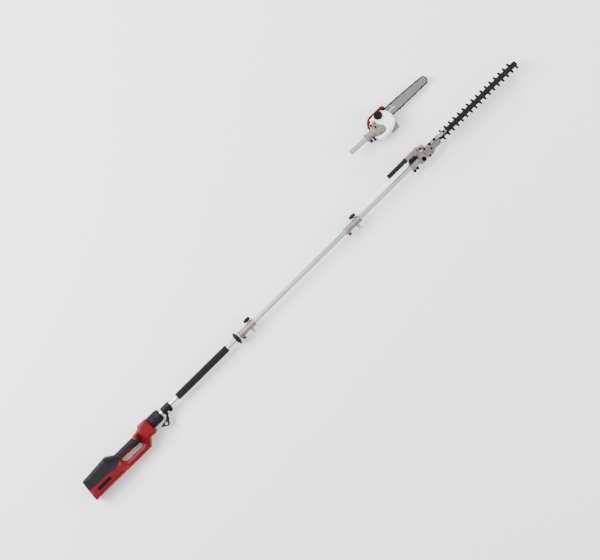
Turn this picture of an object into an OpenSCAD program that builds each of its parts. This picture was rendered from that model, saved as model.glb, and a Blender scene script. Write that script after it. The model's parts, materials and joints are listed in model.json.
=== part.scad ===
// Cordless pole tool kit lying on its side: a battery power unit, a plug-together pole in
// three lengths with a swinging hedge trimmer head, and the pole saw head that swaps with it.
// Stations run along the pole from the rear end of the power unit. The pole axis is the
// line y = 0, z = 0 of the tool frame, and z points away from the floor.

/* [Pole] */
// Outside diameter of every pole tube
tube_od = 24; // [22:0.5:28]
// Wall of the tubes
tube_wall = 1.5; // [1:0.1:2.5]
// Bare tube between the power unit and the foam grip
strap_zone = 95; // [80:1:200]
// Length of the foam grip
foam_len = 280; // [120:5:400]
// Outside diameter of the foam grip
foam_od = 30.5; // [29:0.5:40]
// Bare tube between the foam grip and the first coupler
ring_zone = 68; // [50:1:150]
// Bare middle tube between the two couplers
middle_len = 507; // [250:1:900]
// Bare front tube between the second coupler and the head clamp
front_len = 283; // [220:1:600]

/* [Couplers] */
// Length of a coupler body
coupler_len = 84; // [74:1:120]
// Wall of the coupler body around the tube
coupler_wall = 2.4; // [2:0.1:4]
// Diameter of the clamp knob
knob_d = 33; // [26:1:40]
// Height of the clamp knob
knob_h = 12; // [8:1:20]

/* [Power unit] */
// Length of the shell, from the rear end to the front collar
unit_len = 367; // [340:1:440]
// Width of the battery bay and motor head, which lie flat on the floor
unit_w = 76; // [70:1:90]
// Width of the hand grip
grip_w = 36; // [30:1:44]
// Height of the shell under the pole axis
unit_drop = 70.5; // [68:0.5:90]
// Wall of the plastic shells
shell_wall = 2.5; // [2:0.1:3.5]
// Length of the black front collar
collar_len = 55; // [40:1:80]
// Diameter of the front collar
collar_d = 53; // [50:1:60]
// Motor can diameter
motor_d = 46; // [38:1:52]

/* [Hedge trimmer head] */
// Roll of the whole head about the pole axis, in degrees
head_roll = 38; // [0:1:60]
// Length of the tube clamp
clamp_len = 65; // [55:1:90]
// Offset of the swing lever from the pole axis
lever_rise = 44; // [40:1:60]
// Length of the lever's black grip
lever_grip_len = 102; // [80:1:140]
// Length of the gear case in front of the pivot
case_len = 98; // [80:1:120]
// Length of blade that carries teeth
cut_len = 420; // [300:5:600]
// Distance from tooth to tooth
tooth_pitch = 25.25; // [22:0.25:34]
// Width of the plain blade strip
blade_strip = 29; // [24:1:34]
// Width over both rows of teeth
blade_w = 68; // [60:1:84]
// Thickness of one blade
blade_t = 2.4; // [1.8:0.1:3]
// Half the stroke of a blade
blade_throw = 8; // [5:0.5:10]

/* [Pole saw head] */
// Guide bar beyond the housing
bar_reach = 206; // [180:1:300]
// Width of the guide bar, without the chain
bar_w = 36; // [32:1:44]
// Height of the chain around the bar
chain_h = 5; // [4:0.5:7]
// Length of tube that shows behind the saw housing
saw_tube_len = 83; // [60:1:150]
// Height of the saw's tube over the floor
saw_axis_h = 50; // [48:1:60]
// Distance of the saw head from the pole, centre to centre
saw_gap = 207; // [190:1:300]
// Station of the saw housing's rear end
saw_station = 1777; // [1000:1:2000]
// Turn of the saw head towards the pole, in degrees
saw_yaw = -2.5; // [-5:0.5:5]

/* [Fits] */
// Radial running clearance of pins and shafts
run_gap = 0.06; // [0.02:0.01:0.1]
// Gap between faces of pieces that move past each other
face_gap = 0.4; // [0.3:0.1:1]

/* [Hidden] */
$fn = 48;
CUT = 0.01;
BIG = 400;
rest_station = 70;
axis_h = unit_w / 2;
half_w = unit_w / 2;

tube_r = tube_od / 2;
tube_ir = tube_r - tube_wall;
sleeve_r = tube_r + coupler_wall;
fit_r = tube_r + run_gap;

// stations along the pole
collar_x1 = unit_len + collar_len;
foam_x0 = collar_x1 + strap_zone;
foam_x1 = foam_x0 + foam_len;
ring_x = foam_x1 + 46;
ring_t = 18;
coupler1_x = foam_x1 + ring_zone;
coupler2_x = coupler1_x + coupler_len + middle_len;
clamp_x = coupler2_x + coupler_len + front_len;
pivot_x = clamp_x + clamp_len;
socket_len = coupler_len / 2 - 1;
tube_seat = 24;

// power unit landmarks, along the pole and up from its axis
bay_x1 = 150;
grip_x0 = 182;
grip_x1 = 286;
head_x0 = unit_len - 60;
bay_top = 34.5;
grip_top = 12.5;
seam_y = -21;
grip_under = -21;
loop_y1 = -23;
loop_y0 = -41;
head_top = 31;
head_under = -43;
battery_x1 = 128;
battery_y0 = -55;
battery_y1 = 14;
battery_hw = 29;
pivot_pin_r = 2;
trigger_pivot = [grip_x1 + 1, -14];

// drive line
shaft_r = 4;
square = 6;
bush_len = 12;

// hedge head, in its own rolled frame
fork_r = 17;
case_hw = 16.5;
crank_x = 42;
crank_r = 12;
fork_hw = 18;
tongue_hw = 11;
blade_y = 5;
bracket_y = blade_y + 2 * blade_t + face_gap;
strip_h = blade_strip / 2;
tooth_h = (blade_w - blade_strip) / 2;
teeth_n = floor(cut_len / tooth_pitch) + 1;
lever_x0 = pivot_x - clamp_len + 10 - lever_grip_len;

// saw head, in its own frame from the rear of its sleeve
bar_axis_y = 21.5;
bar_t = 4;
bar_z = 24 - saw_axis_h;
bar_x0 = 128;
bar_x1 = 142 + bar_reach;
sprocket_x = 106;
cover_z0 = -saw_axis_h;
tank_z0 = bar_z + 5;
tank_z1 = 28;
saw_lift = 0.2;

// ---------- helpers ----------
module tool_frame() translate([-rest_station, 0, axis_h]) children();
module head_frame() tool_frame() translate([pivot_x, 0, 0]) rotate([head_roll, 0, 0]) children();
module saw_frame()
    translate([saw_station - rest_station, saw_gap, saw_axis_h]) rotate([0, 0, saw_yaw]) children();
module rod(x0, x1, r) translate([x0, 0, 0]) rotate([0, 90, 0]) cylinder(h = x1 - x0, r = r);
module pipe(x0, x1, r, ri)
    difference() { rod(x0, x1, r); rod(x0 - 1, x1 + 1, ri); }
module cyl_y(p, y0, y1, r) translate([p[0], y0, p[1]]) rotate([-90, 0, 0]) cylinder(h = y1 - y0, r = r);
module cyl_z(p, z0, z1, r) translate([p[0], p[1], z0]) cylinder(h = z1 - z0, r = r);
module block(a, b) translate(a) cube([b[0] - a[0], b[1] - a[1], b[2] - a[2]]);
module slab(z0, z1) translate([0, 0, z0]) linear_extrude(z1 - z0) children();
module upper_half() intersection() { children(); block([-BIG, -BIG, 0], [2 * BIG, BIG, BIG]); }
module lower_half() intersection() { children(); block([-BIG, -BIG, -BIG], [2 * BIG, BIG, 0]); }
// Cap screw along z with its head's top at z
module screw_z(p, z, head_r, head_h, len, r = 2) {
    difference() {
        cyl_z(p, z - head_h, z, head_r);
        cyl_z(p, z - head_h * 0.6, z + 1, head_r * 0.5);
    }
    cyl_z(p, z - head_h - len, z - head_h, r);
}

// ---------- power unit ----------
module unit_outline() polygon([
    [0, -60], [8, 22], [14, 25.5], [bay_x1 - 14, bay_top], [bay_x1 - 8, bay_top - 1],
    [grip_x0 - 8, grip_top], [head_x0 - 28, grip_top], [head_x0 - 22, grip_top + 1],
    [head_x0 + 4, grip_top + 8], [head_x0 + 15, head_top], [unit_len - 7, head_top],
    [unit_len, head_top - 4], [unit_len, head_under + 5], [unit_len - 5, head_under],
    [unit_len - 35, head_under], [unit_len - 61, -unit_drop], [26, -unit_drop],
    [18, -unit_drop + 3], [8, -unit_drop], [1, -unit_drop + 1]
]);
// Black over-shell: the battery bay's top and the grip, down to the seam
module black_zone() polygon([
    [-5, seam_y], [110, seam_y - 3], [bay_x1 - 18, seam_y - 8], [bay_x1 + 4, seam_y - 8],
    [grip_x0 + 6, -13], [grip_x0 + 50, -12], [grip_x1 - 20, grip_under - 4],
    [grip_x1 + 6, grip_under - 4], [head_x0 + 3, -7], [head_x0 - 2, -5],
    [head_x0 - 30, -5], [head_x0 - 34, 1], [head_x0 - 32, 60], [-5, 60]
]);
module hand_opening() polygon([
    [grip_x0 - 2, loop_y1 + 1], [grip_x0 + 14, loop_y0], [grip_x1 - 6, loop_y0 - 1],
    [grip_x1 + 1, loop_y0 + 5], [grip_x1 - 1, loop_y1 - 5], [grip_x1 - 6, loop_y1 - 3],
    [grip_x1 - 60, loop_y1], [grip_x0 + 12, loop_y1 + 1]
]);
// Width of the unit along its length: bay, grip and motor head
module unit_solid() {
    slab(-half_w, half_w) intersection() {
        unit_outline();
        union() {
            translate([-1, -BIG]) square([grip_x0 - 7, 2 * BIG]);
            translate([head_x0 + 3, -BIG]) square([BIG, 2 * BIG]);
        }
    }
    slab(-grip_w / 2, grip_w / 2) difference() {
        intersection() {
            unit_outline();
            translate([grip_x0 - 8, -BIG]) square([head_x0 + 11 - grip_x0, 2 * BIG]);
        }
        hand_opening();
    }
}
module battery_bay(gap = 0) {
    block([-1, battery_y0 - gap, -battery_hw - gap],
          [battery_x1 + gap, battery_y1 + gap, battery_hw + gap]);
}
module unit_cavities() {
    battery_bay(face_gap);
    // grip core with the switch, and the trigger's slot
    block([battery_x1 + 8, -10, -grip_w / 2 + shell_wall * 2],
          [head_x0 - 8, grip_top - 4, grip_w / 2 - shell_wall * 2]);
    block([grip_x1 - 43, loop_y1 - 8, -8], [grip_x1 + 8, -9, 8]);
    cyl_z(trigger_pivot, -10, 10, pivot_pin_r + run_gap);
    // lock-off button slot
    block([head_x0 - 29, grip_top - 5, -7], [head_x0 + 2, grip_top + 20, 7]);
    // motor chamber and its mouth for the collar
    rod(head_x0 + 6, unit_len - 8, motor_d / 2 + 4);
    rod(unit_len - 9, unit_len + 1, motor_d / 2 + run_gap);
    // label recess
    block([37, -50, half_w - 1.5], [107, -35, half_w + 1]);
}
module shell_piece() difference() {
    intersection() { unit_solid(); slab(-BIG, BIG) children(); }
    unit_cavities();
    screw_holes();
}
SCREWS = [[18, -64], [bay_x1 + 4, -62], [grip_x1 - 30, -60], [unit_len - 32, -34]];
module screw_holes() for (p = SCREWS) cyl_z(p, -half_w + 4, BIG, 2.4);
module red_zone() difference() { translate([-BIG, -BIG]) square(3 * BIG); black_zone(); }
module red_shell_upper() color("#c3202b") tool_frame() upper_half() shell_piece() red_zone();
module red_shell_lower() color("#b31c27") tool_frame() lower_half() shell_piece() red_zone();
module black_cover_upper() color("#2c2c2e") tool_frame() upper_half() shell_piece() black_zone();
module black_cover_lower() color("#262628") tool_frame() lower_half() shell_piece() black_zone();

module front_collar() color("#232325") tool_frame() difference() {
    union() {
        rod(unit_len + CUT, collar_x1 - 6, collar_d / 2);
        rod(collar_x1 - 6 - CUT, collar_x1, collar_d / 2 - 3);
        rod(unit_len - 8, unit_len + 1, motor_d / 2);
    }
    rod(unit_len - 9, unit_len + 22, motor_d / 2 - 3);
    rod(unit_len, collar_x1 + 1, fit_r);
}
module label_plate() color("#18181a") tool_frame()
    block([37.3, -49.7, half_w - 1.5], [106.7, -35.3, half_w - 0.4]);
module shell_screws() color("#3a3a3c") tool_frame() for (p = SCREWS) {
    top = (p[0] > grip_x0 && p[0] < head_x0 ? grip_w / 2 : half_w) - 5;
    difference() {
        cyl_z(p, -half_w + 6, top, 2.3);
        cyl_z(p, top - 2, top + 1, 1);
    }
}
module battery_pack() color("#2b2b2e") tool_frame() difference() {
    union() {
        block([9, battery_y0, -battery_hw], [battery_x1 - 10, battery_y1, battery_hw]);
        block([battery_x1 - 10 - CUT, battery_y0 + 12, -18], [battery_x1, battery_y1 - 8, 18]);
    }
    // latch pocket in the end cap and grip hollow under it
    block([8, -22, -13], [22, -8, 13]);
    block([8, -52, -18], [16, -30, 18]);
}
module battery_latch() color("#b01c26") tool_frame()
    block([10, -21.2, -12.2], [17.5, -8.8, 12.2]);
module motor() color("#8e9094") tool_frame() {
    difference() {
        rod(head_x0 + 8, unit_len + 8, motor_d / 2 - 3.4);
        rod(unit_len - 4, unit_len + 9, 3 + run_gap);
    }
    rod(head_x0 + 6.4, head_x0 + 8 + CUT, 9);
}
module motor_coupling() color("#b8babd") tool_frame() {
    rod(unit_len - 3, unit_len + 9, 3);
    difference() {
        rod(unit_len + 9 - CUT, unit_len + 34, 8);
        block([unit_len + 20, -square / 2 - 0.3, -square / 2 - 0.3],
              [unit_len + 40, square / 2 + 0.3, square / 2 + 0.3]);
    }
}
module trigger_switch() color("#3c3c40") tool_frame() {
    block([grip_x1 - 45, -4.5, -7], [grip_x1 - 8, 7, 7]);
    block([grip_x1 - 32, -9.5, -3], [grip_x1 - 26, -4.5 + CUT, 3]);
}
module trigger() color("#1d1d1f") tool_frame() difference() {
    union() {
        slab(-7, 7) polygon([
            [grip_x1 - 38, -13.5], [grip_x1 + 5, -10.5], [grip_x1 + 5, -18],
            [grip_x1 - 4, -22], [grip_x1 - 16, -25.5], [grip_x1 - 32, -24], [grip_x1 - 40, -20]
        ]);
        cyl_z(trigger_pivot, -9.6, 9.6, pivot_pin_r);
    }
}
module lock_off_button() color("#1d1d1f") tool_frame() slab(-6.5, 6.5) polygon([
    [head_x0 - 28.5, grip_top - 0.5], [head_x0 + 1.5, grip_top - 0.5],
    [head_x0 + 1.5, grip_top + 7.5], [head_x0 - 8, grip_top + 6.5],
    [head_x0 - 10, grip_top + 4.5], [head_x0 - 27, grip_top + 3]
]);

// ---------- rear pole section ----------
hook_pivot = [collar_x1 + 19, -tube_r - 8];
module rear_tube() color("#d6d7d9") tool_frame()
    pipe(unit_len + 24, coupler1_x + socket_len, tube_r, tube_ir);
module shaft_line(x0, x1) {
    rod(x0, x1 - 18, shaft_r);
    difference() {
        rod(x1 - 18 - CUT, x1, 7);
        block([x1 - 14, -square / 2 - 0.3, -square / 2 - 0.3],
              [x1 + 1, square / 2 + 0.3, square / 2 + 0.3]);
    }
}
module square_tail(x0, x1) block([x0, -square / 2, -square / 2], [x1, square / 2, square / 2]);
module bushes(x0, x1, n) for (i = [0 : n - 1])
    pipe(x0 + (x1 - x0) * i / (n - 1), x0 + (x1 - x0) * i / (n - 1) + bush_len,
         tube_ir - 0.05, shaft_r + run_gap);
module rear_drive_shaft() color("#c2c4c7") tool_frame() {
    square_tail(unit_len + 22, unit_len + 38);
    shaft_line(unit_len + 38 - CUT, coupler1_x + socket_len);
}
module rear_shaft_bushes() color("#b89a55") tool_frame()
    bushes(collar_x1 + 20, coupler1_x - 30, 3);
module strap_clamp() color("#262628") tool_frame() difference() {
    union() {
        rod(collar_x1 + 10, collar_x1 + 54, tube_r + 4);
        block([collar_x1 + 34, -tube_r - 12, -6], [collar_x1 + 50, -tube_r, 6]);
        for (z = [-10, face_gap + 3])
            block([collar_x1 + 13, -tube_r - 12, z], [collar_x1 + 25, 0, z + 7 - face_gap]);
    }
    rod(collar_x1, collar_x1 + 60, fit_r);
    cyl_z([collar_x1 + 42, -tube_r - 7], -10, 10, 2 + run_gap);
    cyl_z(hook_pivot, -12, 12, 2.5 + run_gap);
}
module strap_clamp_screw() color("#1b1b1d") tool_frame() {
    cyl_z([collar_x1 + 42, -tube_r - 7], -7.5, 6.2, 2);
    cyl_z([collar_x1 + 42, -tube_r - 7], 6.1, 12, 4.5);
    cyl_y([collar_x1 + 42, 9], -tube_r - 12, -tube_r - 4.2, 3);
}
module strap_hook() color("#202022") tool_frame() {
    difference() {
        union() {
            cyl_z(hook_pivot, -3, 3, 3.5);
            slab(-3, 3) polygon([
                [collar_x1 + 16, hook_pivot[1] + 2], [collar_x1 - 1, -32], [collar_x1 - 32, -37],
                [collar_x1 - 34, -44], [collar_x1 - 8, -58], [collar_x1 - 4, -56],
                [collar_x1 + 9, -36], [collar_x1 + 22, hook_pivot[1] - 1]
            ]);
        }
        cyl_z([collar_x1 - 10, -44.5], -5, 5, 6);
    }
    cyl_z(hook_pivot, -9.5, 9.5, 2.5);
}
module foam_grip() color("#1f1f21") tool_frame() pipe(foam_x0, foam_x1, foam_od / 2, fit_r);
module hand_stop_ring() color("#1c1c1e") tool_frame() difference() {
    union() {
        rod(ring_x, ring_x + ring_t, 18);
        rod(ring_x + 4, ring_x + ring_t - 4, 27);
    }
    rod(ring_x - 1, ring_x + ring_t + 1, fit_r);
}

// ---------- couplers ----------
knob_dx = coupler_len - 3 - 16;
pin_dx = coupler_len / 2 + 16;
module coupler_body(x) difference() {
    union() {
        rod(x, x + coupler_len, sleeve_r);
        rod(x + coupler_len - 9, x + coupler_len, sleeve_r + 1.6);
        rod(x, x + 7, sleeve_r + 1.2);
        // knob boss, clamp lug at the rear and spring housing of the pin
        cyl_y([x + knob_dx, 0], 0, sleeve_r + 4, 9);
        block([x + 4, -sleeve_r - 11, -9], [x + 19, 0, 9]);
        cyl_y([x + pin_dx, 0], -sleeve_r - 9, 0, 7.5);
    }
    rod(x - 1, x + coupler_len + 1, fit_r);
    cyl_y([x + knob_dx, 0], 0, sleeve_r + 5, 3 + run_gap);
    cyl_y([x + pin_dx, 0], -sleeve_r - 10, 0, 3 + run_gap);
    block([x - 1, -sleeve_r - 12, -1], [x + 21, 0, 1]);
    cyl_z([x + 11.5, -sleeve_r - 5], -10, 10, 2.5 + run_gap);
}
module coupler_knob(x) {
    cyl_y([x + knob_dx, 0], tube_r + face_gap, sleeve_r + 5, 3);
    translate([x + knob_dx, sleeve_r + 4 + face_gap, 0]) rotate([-90, 0, 0]) {
        cylinder(h = knob_h, r = knob_d * 0.33);
        for (a = [0 : 72 : 359]) rotate(a) translate([knob_d * 0.32, 0, 1])
            cylinder(h = knob_h - 2, r = knob_d * 0.17);
        cylinder(h = knob_h + 3, r = 5);
    }
}
module coupler_pin(x) {
    cyl_y([x + pin_dx, 0], -sleeve_r - 14, -tube_ir - 0.2, 3);
    cyl_y([x + pin_dx, 0], -sleeve_r - 20, -sleeve_r - 9 - face_gap, 5.5);
}
ring_r = 7.5;
ring_wire_r = 1.1;
module pull_ring(x, wire_r) translate([x + pin_dx, -sleeve_r - 24, 0])
    rotate_extrude() translate([ring_r, 0]) circle(r = wire_r);
module coupler_screws(x) {
    cyl_z([x + 11.5, -sleeve_r - 5], -12, 9.1, 2.5);
    difference() {
        cyl_z([x + 11.5, -sleeve_r - 5], 9, 14, 4.5);
        cyl_z([x + 11.5, -sleeve_r - 5], 11, 15, 2);
    }
    slab(-12, -9) translate([x + 11.5, -sleeve_r - 5]) circle(r = 4.6, $fn = 6);
}
// Tube that plugs into a coupler: the slot runs along the coupler's pin to the tube's end
module plug_tube(x0, x1) difference() {
    pipe(x0, x1, tube_r, tube_ir);
    block([x0 - 1, -tube_r - 1, -3.3], [x0 + pin_dx - coupler_len / 2 + 3.4, 0, 3.3]);
}
module coupler_1() color("#a9a39b") tool_frame() coupler_body(coupler1_x);
module coupler_1_knob() color("#1b1b1d") tool_frame() coupler_knob(coupler1_x);
module coupler_1_pin() color("#c9c9cb") tool_frame() coupler_pin(coupler1_x);
module coupler_1_screws() color("#2a2a2c") tool_frame() coupler_screws(coupler1_x);
module coupler_2() color("#a9a39b") tool_frame() coupler_body(coupler2_x);
module coupler_2_knob() color("#1b1b1d") tool_frame() coupler_knob(coupler2_x);
module coupler_2_pin() color("#c9c9cb") tool_frame() difference() {
    coupler_pin(coupler2_x);
    pull_ring(coupler2_x, ring_wire_r + run_gap);
}
module coupler_2_screws() color("#2a2a2c") tool_frame() coupler_screws(coupler2_x);
module coupler_2_ring() color("#b0b0b2") tool_frame() pull_ring(coupler2_x, ring_wire_r);
module plug_shaft(x0, x1) {
    square_tail(x0 - 12, x0 + 2);
    shaft_line(x0 + 2 - CUT, x1);
}
mid_x0 = coupler1_x + coupler_len / 2;
mid_x1 = coupler2_x + socket_len;
front_x0 = coupler2_x + coupler_len / 2;
front_x1 = clamp_x + tube_seat;
module middle_tube() color("#d6d7d9") tool_frame() plug_tube(mid_x0, mid_x1);
module middle_drive_shaft() color("#c2c4c7") tool_frame() plug_shaft(mid_x0, mid_x1);
module front_tube() color("#d6d7d9") tool_frame() plug_tube(front_x0, front_x1);

// ---------- hedge trimmer head ----------
gear_r = 8;
module front_drive_shaft() color("#c2c4c7") tool_frame() {
    square_tail(front_x0 - 12, front_x0 + 2);
    rod(front_x0 + 2 - CUT, pivot_x - 14.4, shaft_r);
    translate([pivot_x - 14.4 - CUT, 0, 0]) rotate([0, 90, 0]) cylinder(h = 5, r1 = 7, r2 = 3);
}
release_pivot = [-35, tube_r + 8];
module head_clamp() color("#aaa49c") head_frame() difference() {
    union() {
        rod(-clamp_len, -18, tube_r + 3.5);
        rod(-clamp_len, -clamp_len + 5, tube_r + 4.5);
        rod(-26, -18, fork_r);
        for (s = [-1, 1]) {
            z0 = s > 0 ? tongue_hw + face_gap : -fork_hw;
            z1 = s > 0 ? fork_hw : -tongue_hw - face_gap;
            cyl_z([0, 0], z0, z1, fork_r);
            block([-22, -fork_r, z0], [0, fork_r, z1]);
        }
        // clamp lug under the sleeve and the lock release's post on its top
        block([-clamp_len, -tube_r - 12, -8], [-clamp_len + 30, 0, 8]);
        block([-39, tube_r, -4], [-31, tube_r + 11, 4]);
    }
    rod(-clamp_len - 1, -clamp_len + tube_seat + 2, fit_r);
    rod(-clamp_len, -24, 9);
    rod(-30, -17, shaft_r + run_gap);
    block([-clamp_len - 1, -tube_r - 13, -1], [-clamp_len + 31, 0, 1]);
    cyl_z([0, 0], -fork_hw - 1, fork_hw + 1, 4 + run_gap);
    cyl_z([0, 0], -tongue_hw - face_gap, tongue_hw + face_gap, fork_r + 0.6);
    for (dx = [6, 22]) cyl_z([-clamp_len + dx, -tube_r - 7], -10, 10, 2.5 + run_gap);
    cyl_z(release_pivot, -9, 9, 2 + run_gap);
}
module head_clamp_screws() color("#1b1b1d") head_frame() for (dx = [6, 22])
    translate([-clamp_len + dx, -tube_r - 7, 0]) {
        cylinder(h = 20, r = 2.5, center = true);
        translate([0, 0, 8]) difference() {
            cylinder(h = 6, r = 5);
            translate([0, 0, 3]) cylinder(h = 4, r = 2.2);
        }
    }
module lock_release() color("#161618") head_frame() {
    slab(-9, 9) difference() {
        polygon([
            [-15, tube_r + 7.5], [-15, tube_r + 11], [-20, tube_r + 14], [-46, tube_r + 14],
            [-54, tube_r + 12], [-57, tube_r + 7], [-24, tube_r + 6.5]
        ]);
        translate([-43, tube_r + 5]) square([16, 12]);
    }
    for (z = [-9, 4 + face_gap]) slab(z, z + 5 - face_gap)
        translate([-44, tube_r + 7]) square([18, 6.9]);
    slab(4, 9) translate([-44, tube_r + 7.2]) square([18, 6.7]);
    cyl_z(release_pivot, -8, 8, 2);
}
module pivot_bolt() color("#2a2a2c") head_frame() {
    cyl_z([0, 0], -fork_hw - 1, fork_hw + 1, 4);
    for (s = [-1, 1]) difference() {
        cyl_z([0, 0], s > 0 ? fork_hw : -fork_hw - 6, s > 0 ? fork_hw + 6 : -fork_hw, 8);
        cyl_z([0, 0], s > 0 ? fork_hw + 3 : -fork_hw - 7, s > 0 ? fork_hw + 7 : -fork_hw - 3, 3.5);
    }
}
module pivot_gear() color("#8b8d90") head_frame() difference() {
    union() {
        cyl_z([0, 0], 1, 4, gear_r);
        translate([0, 0, -2]) cylinder(h = 3 + CUT, r1 = gear_r - 3, r2 = gear_r);
    }
    cyl_z([0, 0], -3, 5, 4 + run_gap);
}
// Side profile of the case: the crank chamber, then the nose that the blades leave
module case_profile() polygon([
    [12, -14], [20, -18], [44, -18], [56, -13], [case_len, -12], [case_len, 15],
    [35, 15], [31, 21], [22, 21], [12, 16]
]);
module gear_case() color("#aaa49c") head_frame() difference() {
    union() {
        // tongue between the fork's cheeks, then the case in front of them
        cyl_z([0, 0], -tongue_hw, tongue_hw, 16.5);
        block([0, -12, -tongue_hw], [20, 12, tongue_hw]);
        difference() {
            intersection() {
                slab(-case_hw, case_hw) case_profile();
                block([fork_r + 1, -BIG, -BIG], [BIG, BIG, BIG]);
            }
            // the nose narrows under the blades
            for (z = [-case_hw - 1, 9])
                block([56, -BIG, z], [case_len + 1, blade_y - 4.5, z + case_hw]);
        }
        for (y = [-9, -4]) block([58, y, -10.5], [case_len - 2, y + 2, 10.5]);
        block([fork_r + 3, 14, -9], [34, 33, 9]);
    }
    cyl_z([0, 0], -BIG, BIG, 4 + run_gap);
    cyl_z([0, 0], -6, 6, gear_r + 2);
    // way in for the pinion, swept through the head's swing
    rod(-18, 0, 9.4);
    cyl_y([0, 0], -18, 0, 9.4);
    block([-18, -18, -9.4], [0, 0, 9.4]);
    cyl_y([crank_x, 0], -15, 14, crank_r + 1);
    block([30, blade_y - 3.4, -strip_h - 0.6], [case_len + 1, blade_y + 2 * blade_t + 3.4, strip_h + 0.6]);
}
// Each screw's place on the side and the height of the face under its head
CASE_SCREWS = [[27, 28.5, 9], [15, 43.5, 8], [28, -12, case_hw], [50, 11, case_hw]];
module case_screws() color("#1b1b1d") head_frame() for (p = CASE_SCREWS) difference() {
    cyl_z(p, p[2] + CUT, p[2] + 4, 4);
    cyl_z(p, p[2] + 2, p[2] + 5, 1.8);
}
// The crank's two cams stop just short of the blades
module crank_gear() color("#8b8d90") head_frame() {
    cyl_y([crank_x, 0], -13, -7, crank_r);
    cyl_y([crank_x, 0], -14.6, -13 + CUT, 5);
    for (z = [-1, 1]) cyl_y([crank_x, z * blade_throw * 0.8], -7 - CUT, blade_y - 0.8, 4);
}
module swing_lever() color("#aaa49c") head_frame() {
    difference() {
        slab(-8, 8) polygon([
            [-56, lever_rise - 5], [-56, lever_rise + 7], [-10, lever_rise + 7],
            [-5, lever_rise + 9], [8, lever_rise + 9], [16, lever_rise + 3], [33, 42], [34, 33.05],
            [21, 33.05], [10, 32.5], [-12, lever_rise - 7]
        ]);
        cyl_z([2, lever_rise + 1], -10, 10, 3.5);
    }
    translate([lever_x0 - pivot_x + 10, lever_rise + 1, 0]) rotate([0, 90, 0])
        cylinder(h = -56 - (lever_x0 - pivot_x) - 10 + CUT, r = 5);
}
module lever_grip() color("#1c1c1e") head_frame() translate([0, lever_rise + 1, 0]) difference() {
    union() {
        rod(lever_x0 - pivot_x, -56 - face_gap, 10);
        rod(-64, -56 - face_gap, 11.5);
    }
    rod(lever_x0 - pivot_x + 10 - 0.05, -50, 5 + 0.05);
}
BOLT_XS = [case_len - 42, case_len - 16];
module blade_bracket() color("#8d8f93") head_frame() difference() {
    union() {
        // foot on the case, joggle down to the blades, and the guide strip
        block([case_len - 50, 15 + CUT, -11], [case_len - 4, 19.2, 11]);
        slab(-11, 11) polygon([
            [case_len - 6, 15.1], [case_len + 3, 15.1], [case_len + 12, bracket_y],
            [case_len + 44, bracket_y], [case_len + 44, bracket_y + 4],
            [case_len + 14, bracket_y + 4], [case_len + 5, 19.2], [case_len - 6, 19.2]
        ]);
    }
    for (x = BOLT_XS) cyl_y([x, 0], 10, 22, 3 + run_gap);
    cyl_y([case_len + 34, 0], bracket_y - 1, bracket_y + 6, 3 + run_gap);
}
module blade_bolts() color("#19191b") head_frame() {
    for (x = BOLT_XS) {
        cyl_y([x, 0], 15 + CUT, 19.3, 3);
        difference() { cyl_y([x, 0], 19.25, 23.6, 6); cyl_y([x, 0], 21, 25, 2.6); }
    }
    cyl_y([case_len + 34, 0], blade_y - 3, bracket_y + 4, 3);
    cyl_y([case_len + 34, 0], bracket_y + 4.05, bracket_y + 7.5, 5.5);
    cyl_y([case_len + 34, 0], blade_y - 4, blade_y - face_gap, 5.5);
}
// Tooth that stands out on the side s, its points in anticlockwise order
module tooth(s) {
    side = [[6.4, strip_h - 1], [5.6, strip_h + 2], [3.8, strip_h + tooth_h - 1], [2.6, strip_h + tooth_h]];
    right = [for (p = side) [p[0], s * p[1]]];
    left = [for (i = [len(side) - 1 : -1 : 0]) [-side[i][0], s * side[i][1]]];
    round_trip = concat(right, left);
    polygon(s > 0 ? round_trip : [for (i = [len(round_trip) - 1 : -1 : 0]) round_trip[i]]);
}
module blade_outline() difference() {
    union() {
        translate([crank_x, -strip_h]) square([case_len + 14 + cut_len - crank_x, blade_strip]);
        for (i = [0 : teeth_n - 1])
            translate([case_len + 17 + i * tooth_pitch, 0]) tooth(1);
        for (i = [0 : teeth_n - 2])
            translate([case_len + 27 + i * tooth_pitch, 0]) tooth(-1);
    }
    // slot round the bolt that holds the blades, as long as the stroke
    translate([case_len + 34 - blade_throw - 1, -3.5]) square([2 * blade_throw + 2, 7]);
    for (x = [-1, 1]) translate([case_len + 34 + x * (blade_throw + 1), 0]) circle(r = 3.5);
}
// Blade plane holds the pole axis and the pivot axis, so its thickness lies along y
module blade_plate(y) translate([0, y + blade_t, 0]) rotate([90, 0, 0]) linear_extrude(blade_t) blade_outline();
module upper_blade() color("#222326") head_frame() blade_plate(blade_y + blade_t + 0.15);
module lower_blade() color("#1c1d20") head_frame() blade_plate(blade_y - 0.15);

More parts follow.
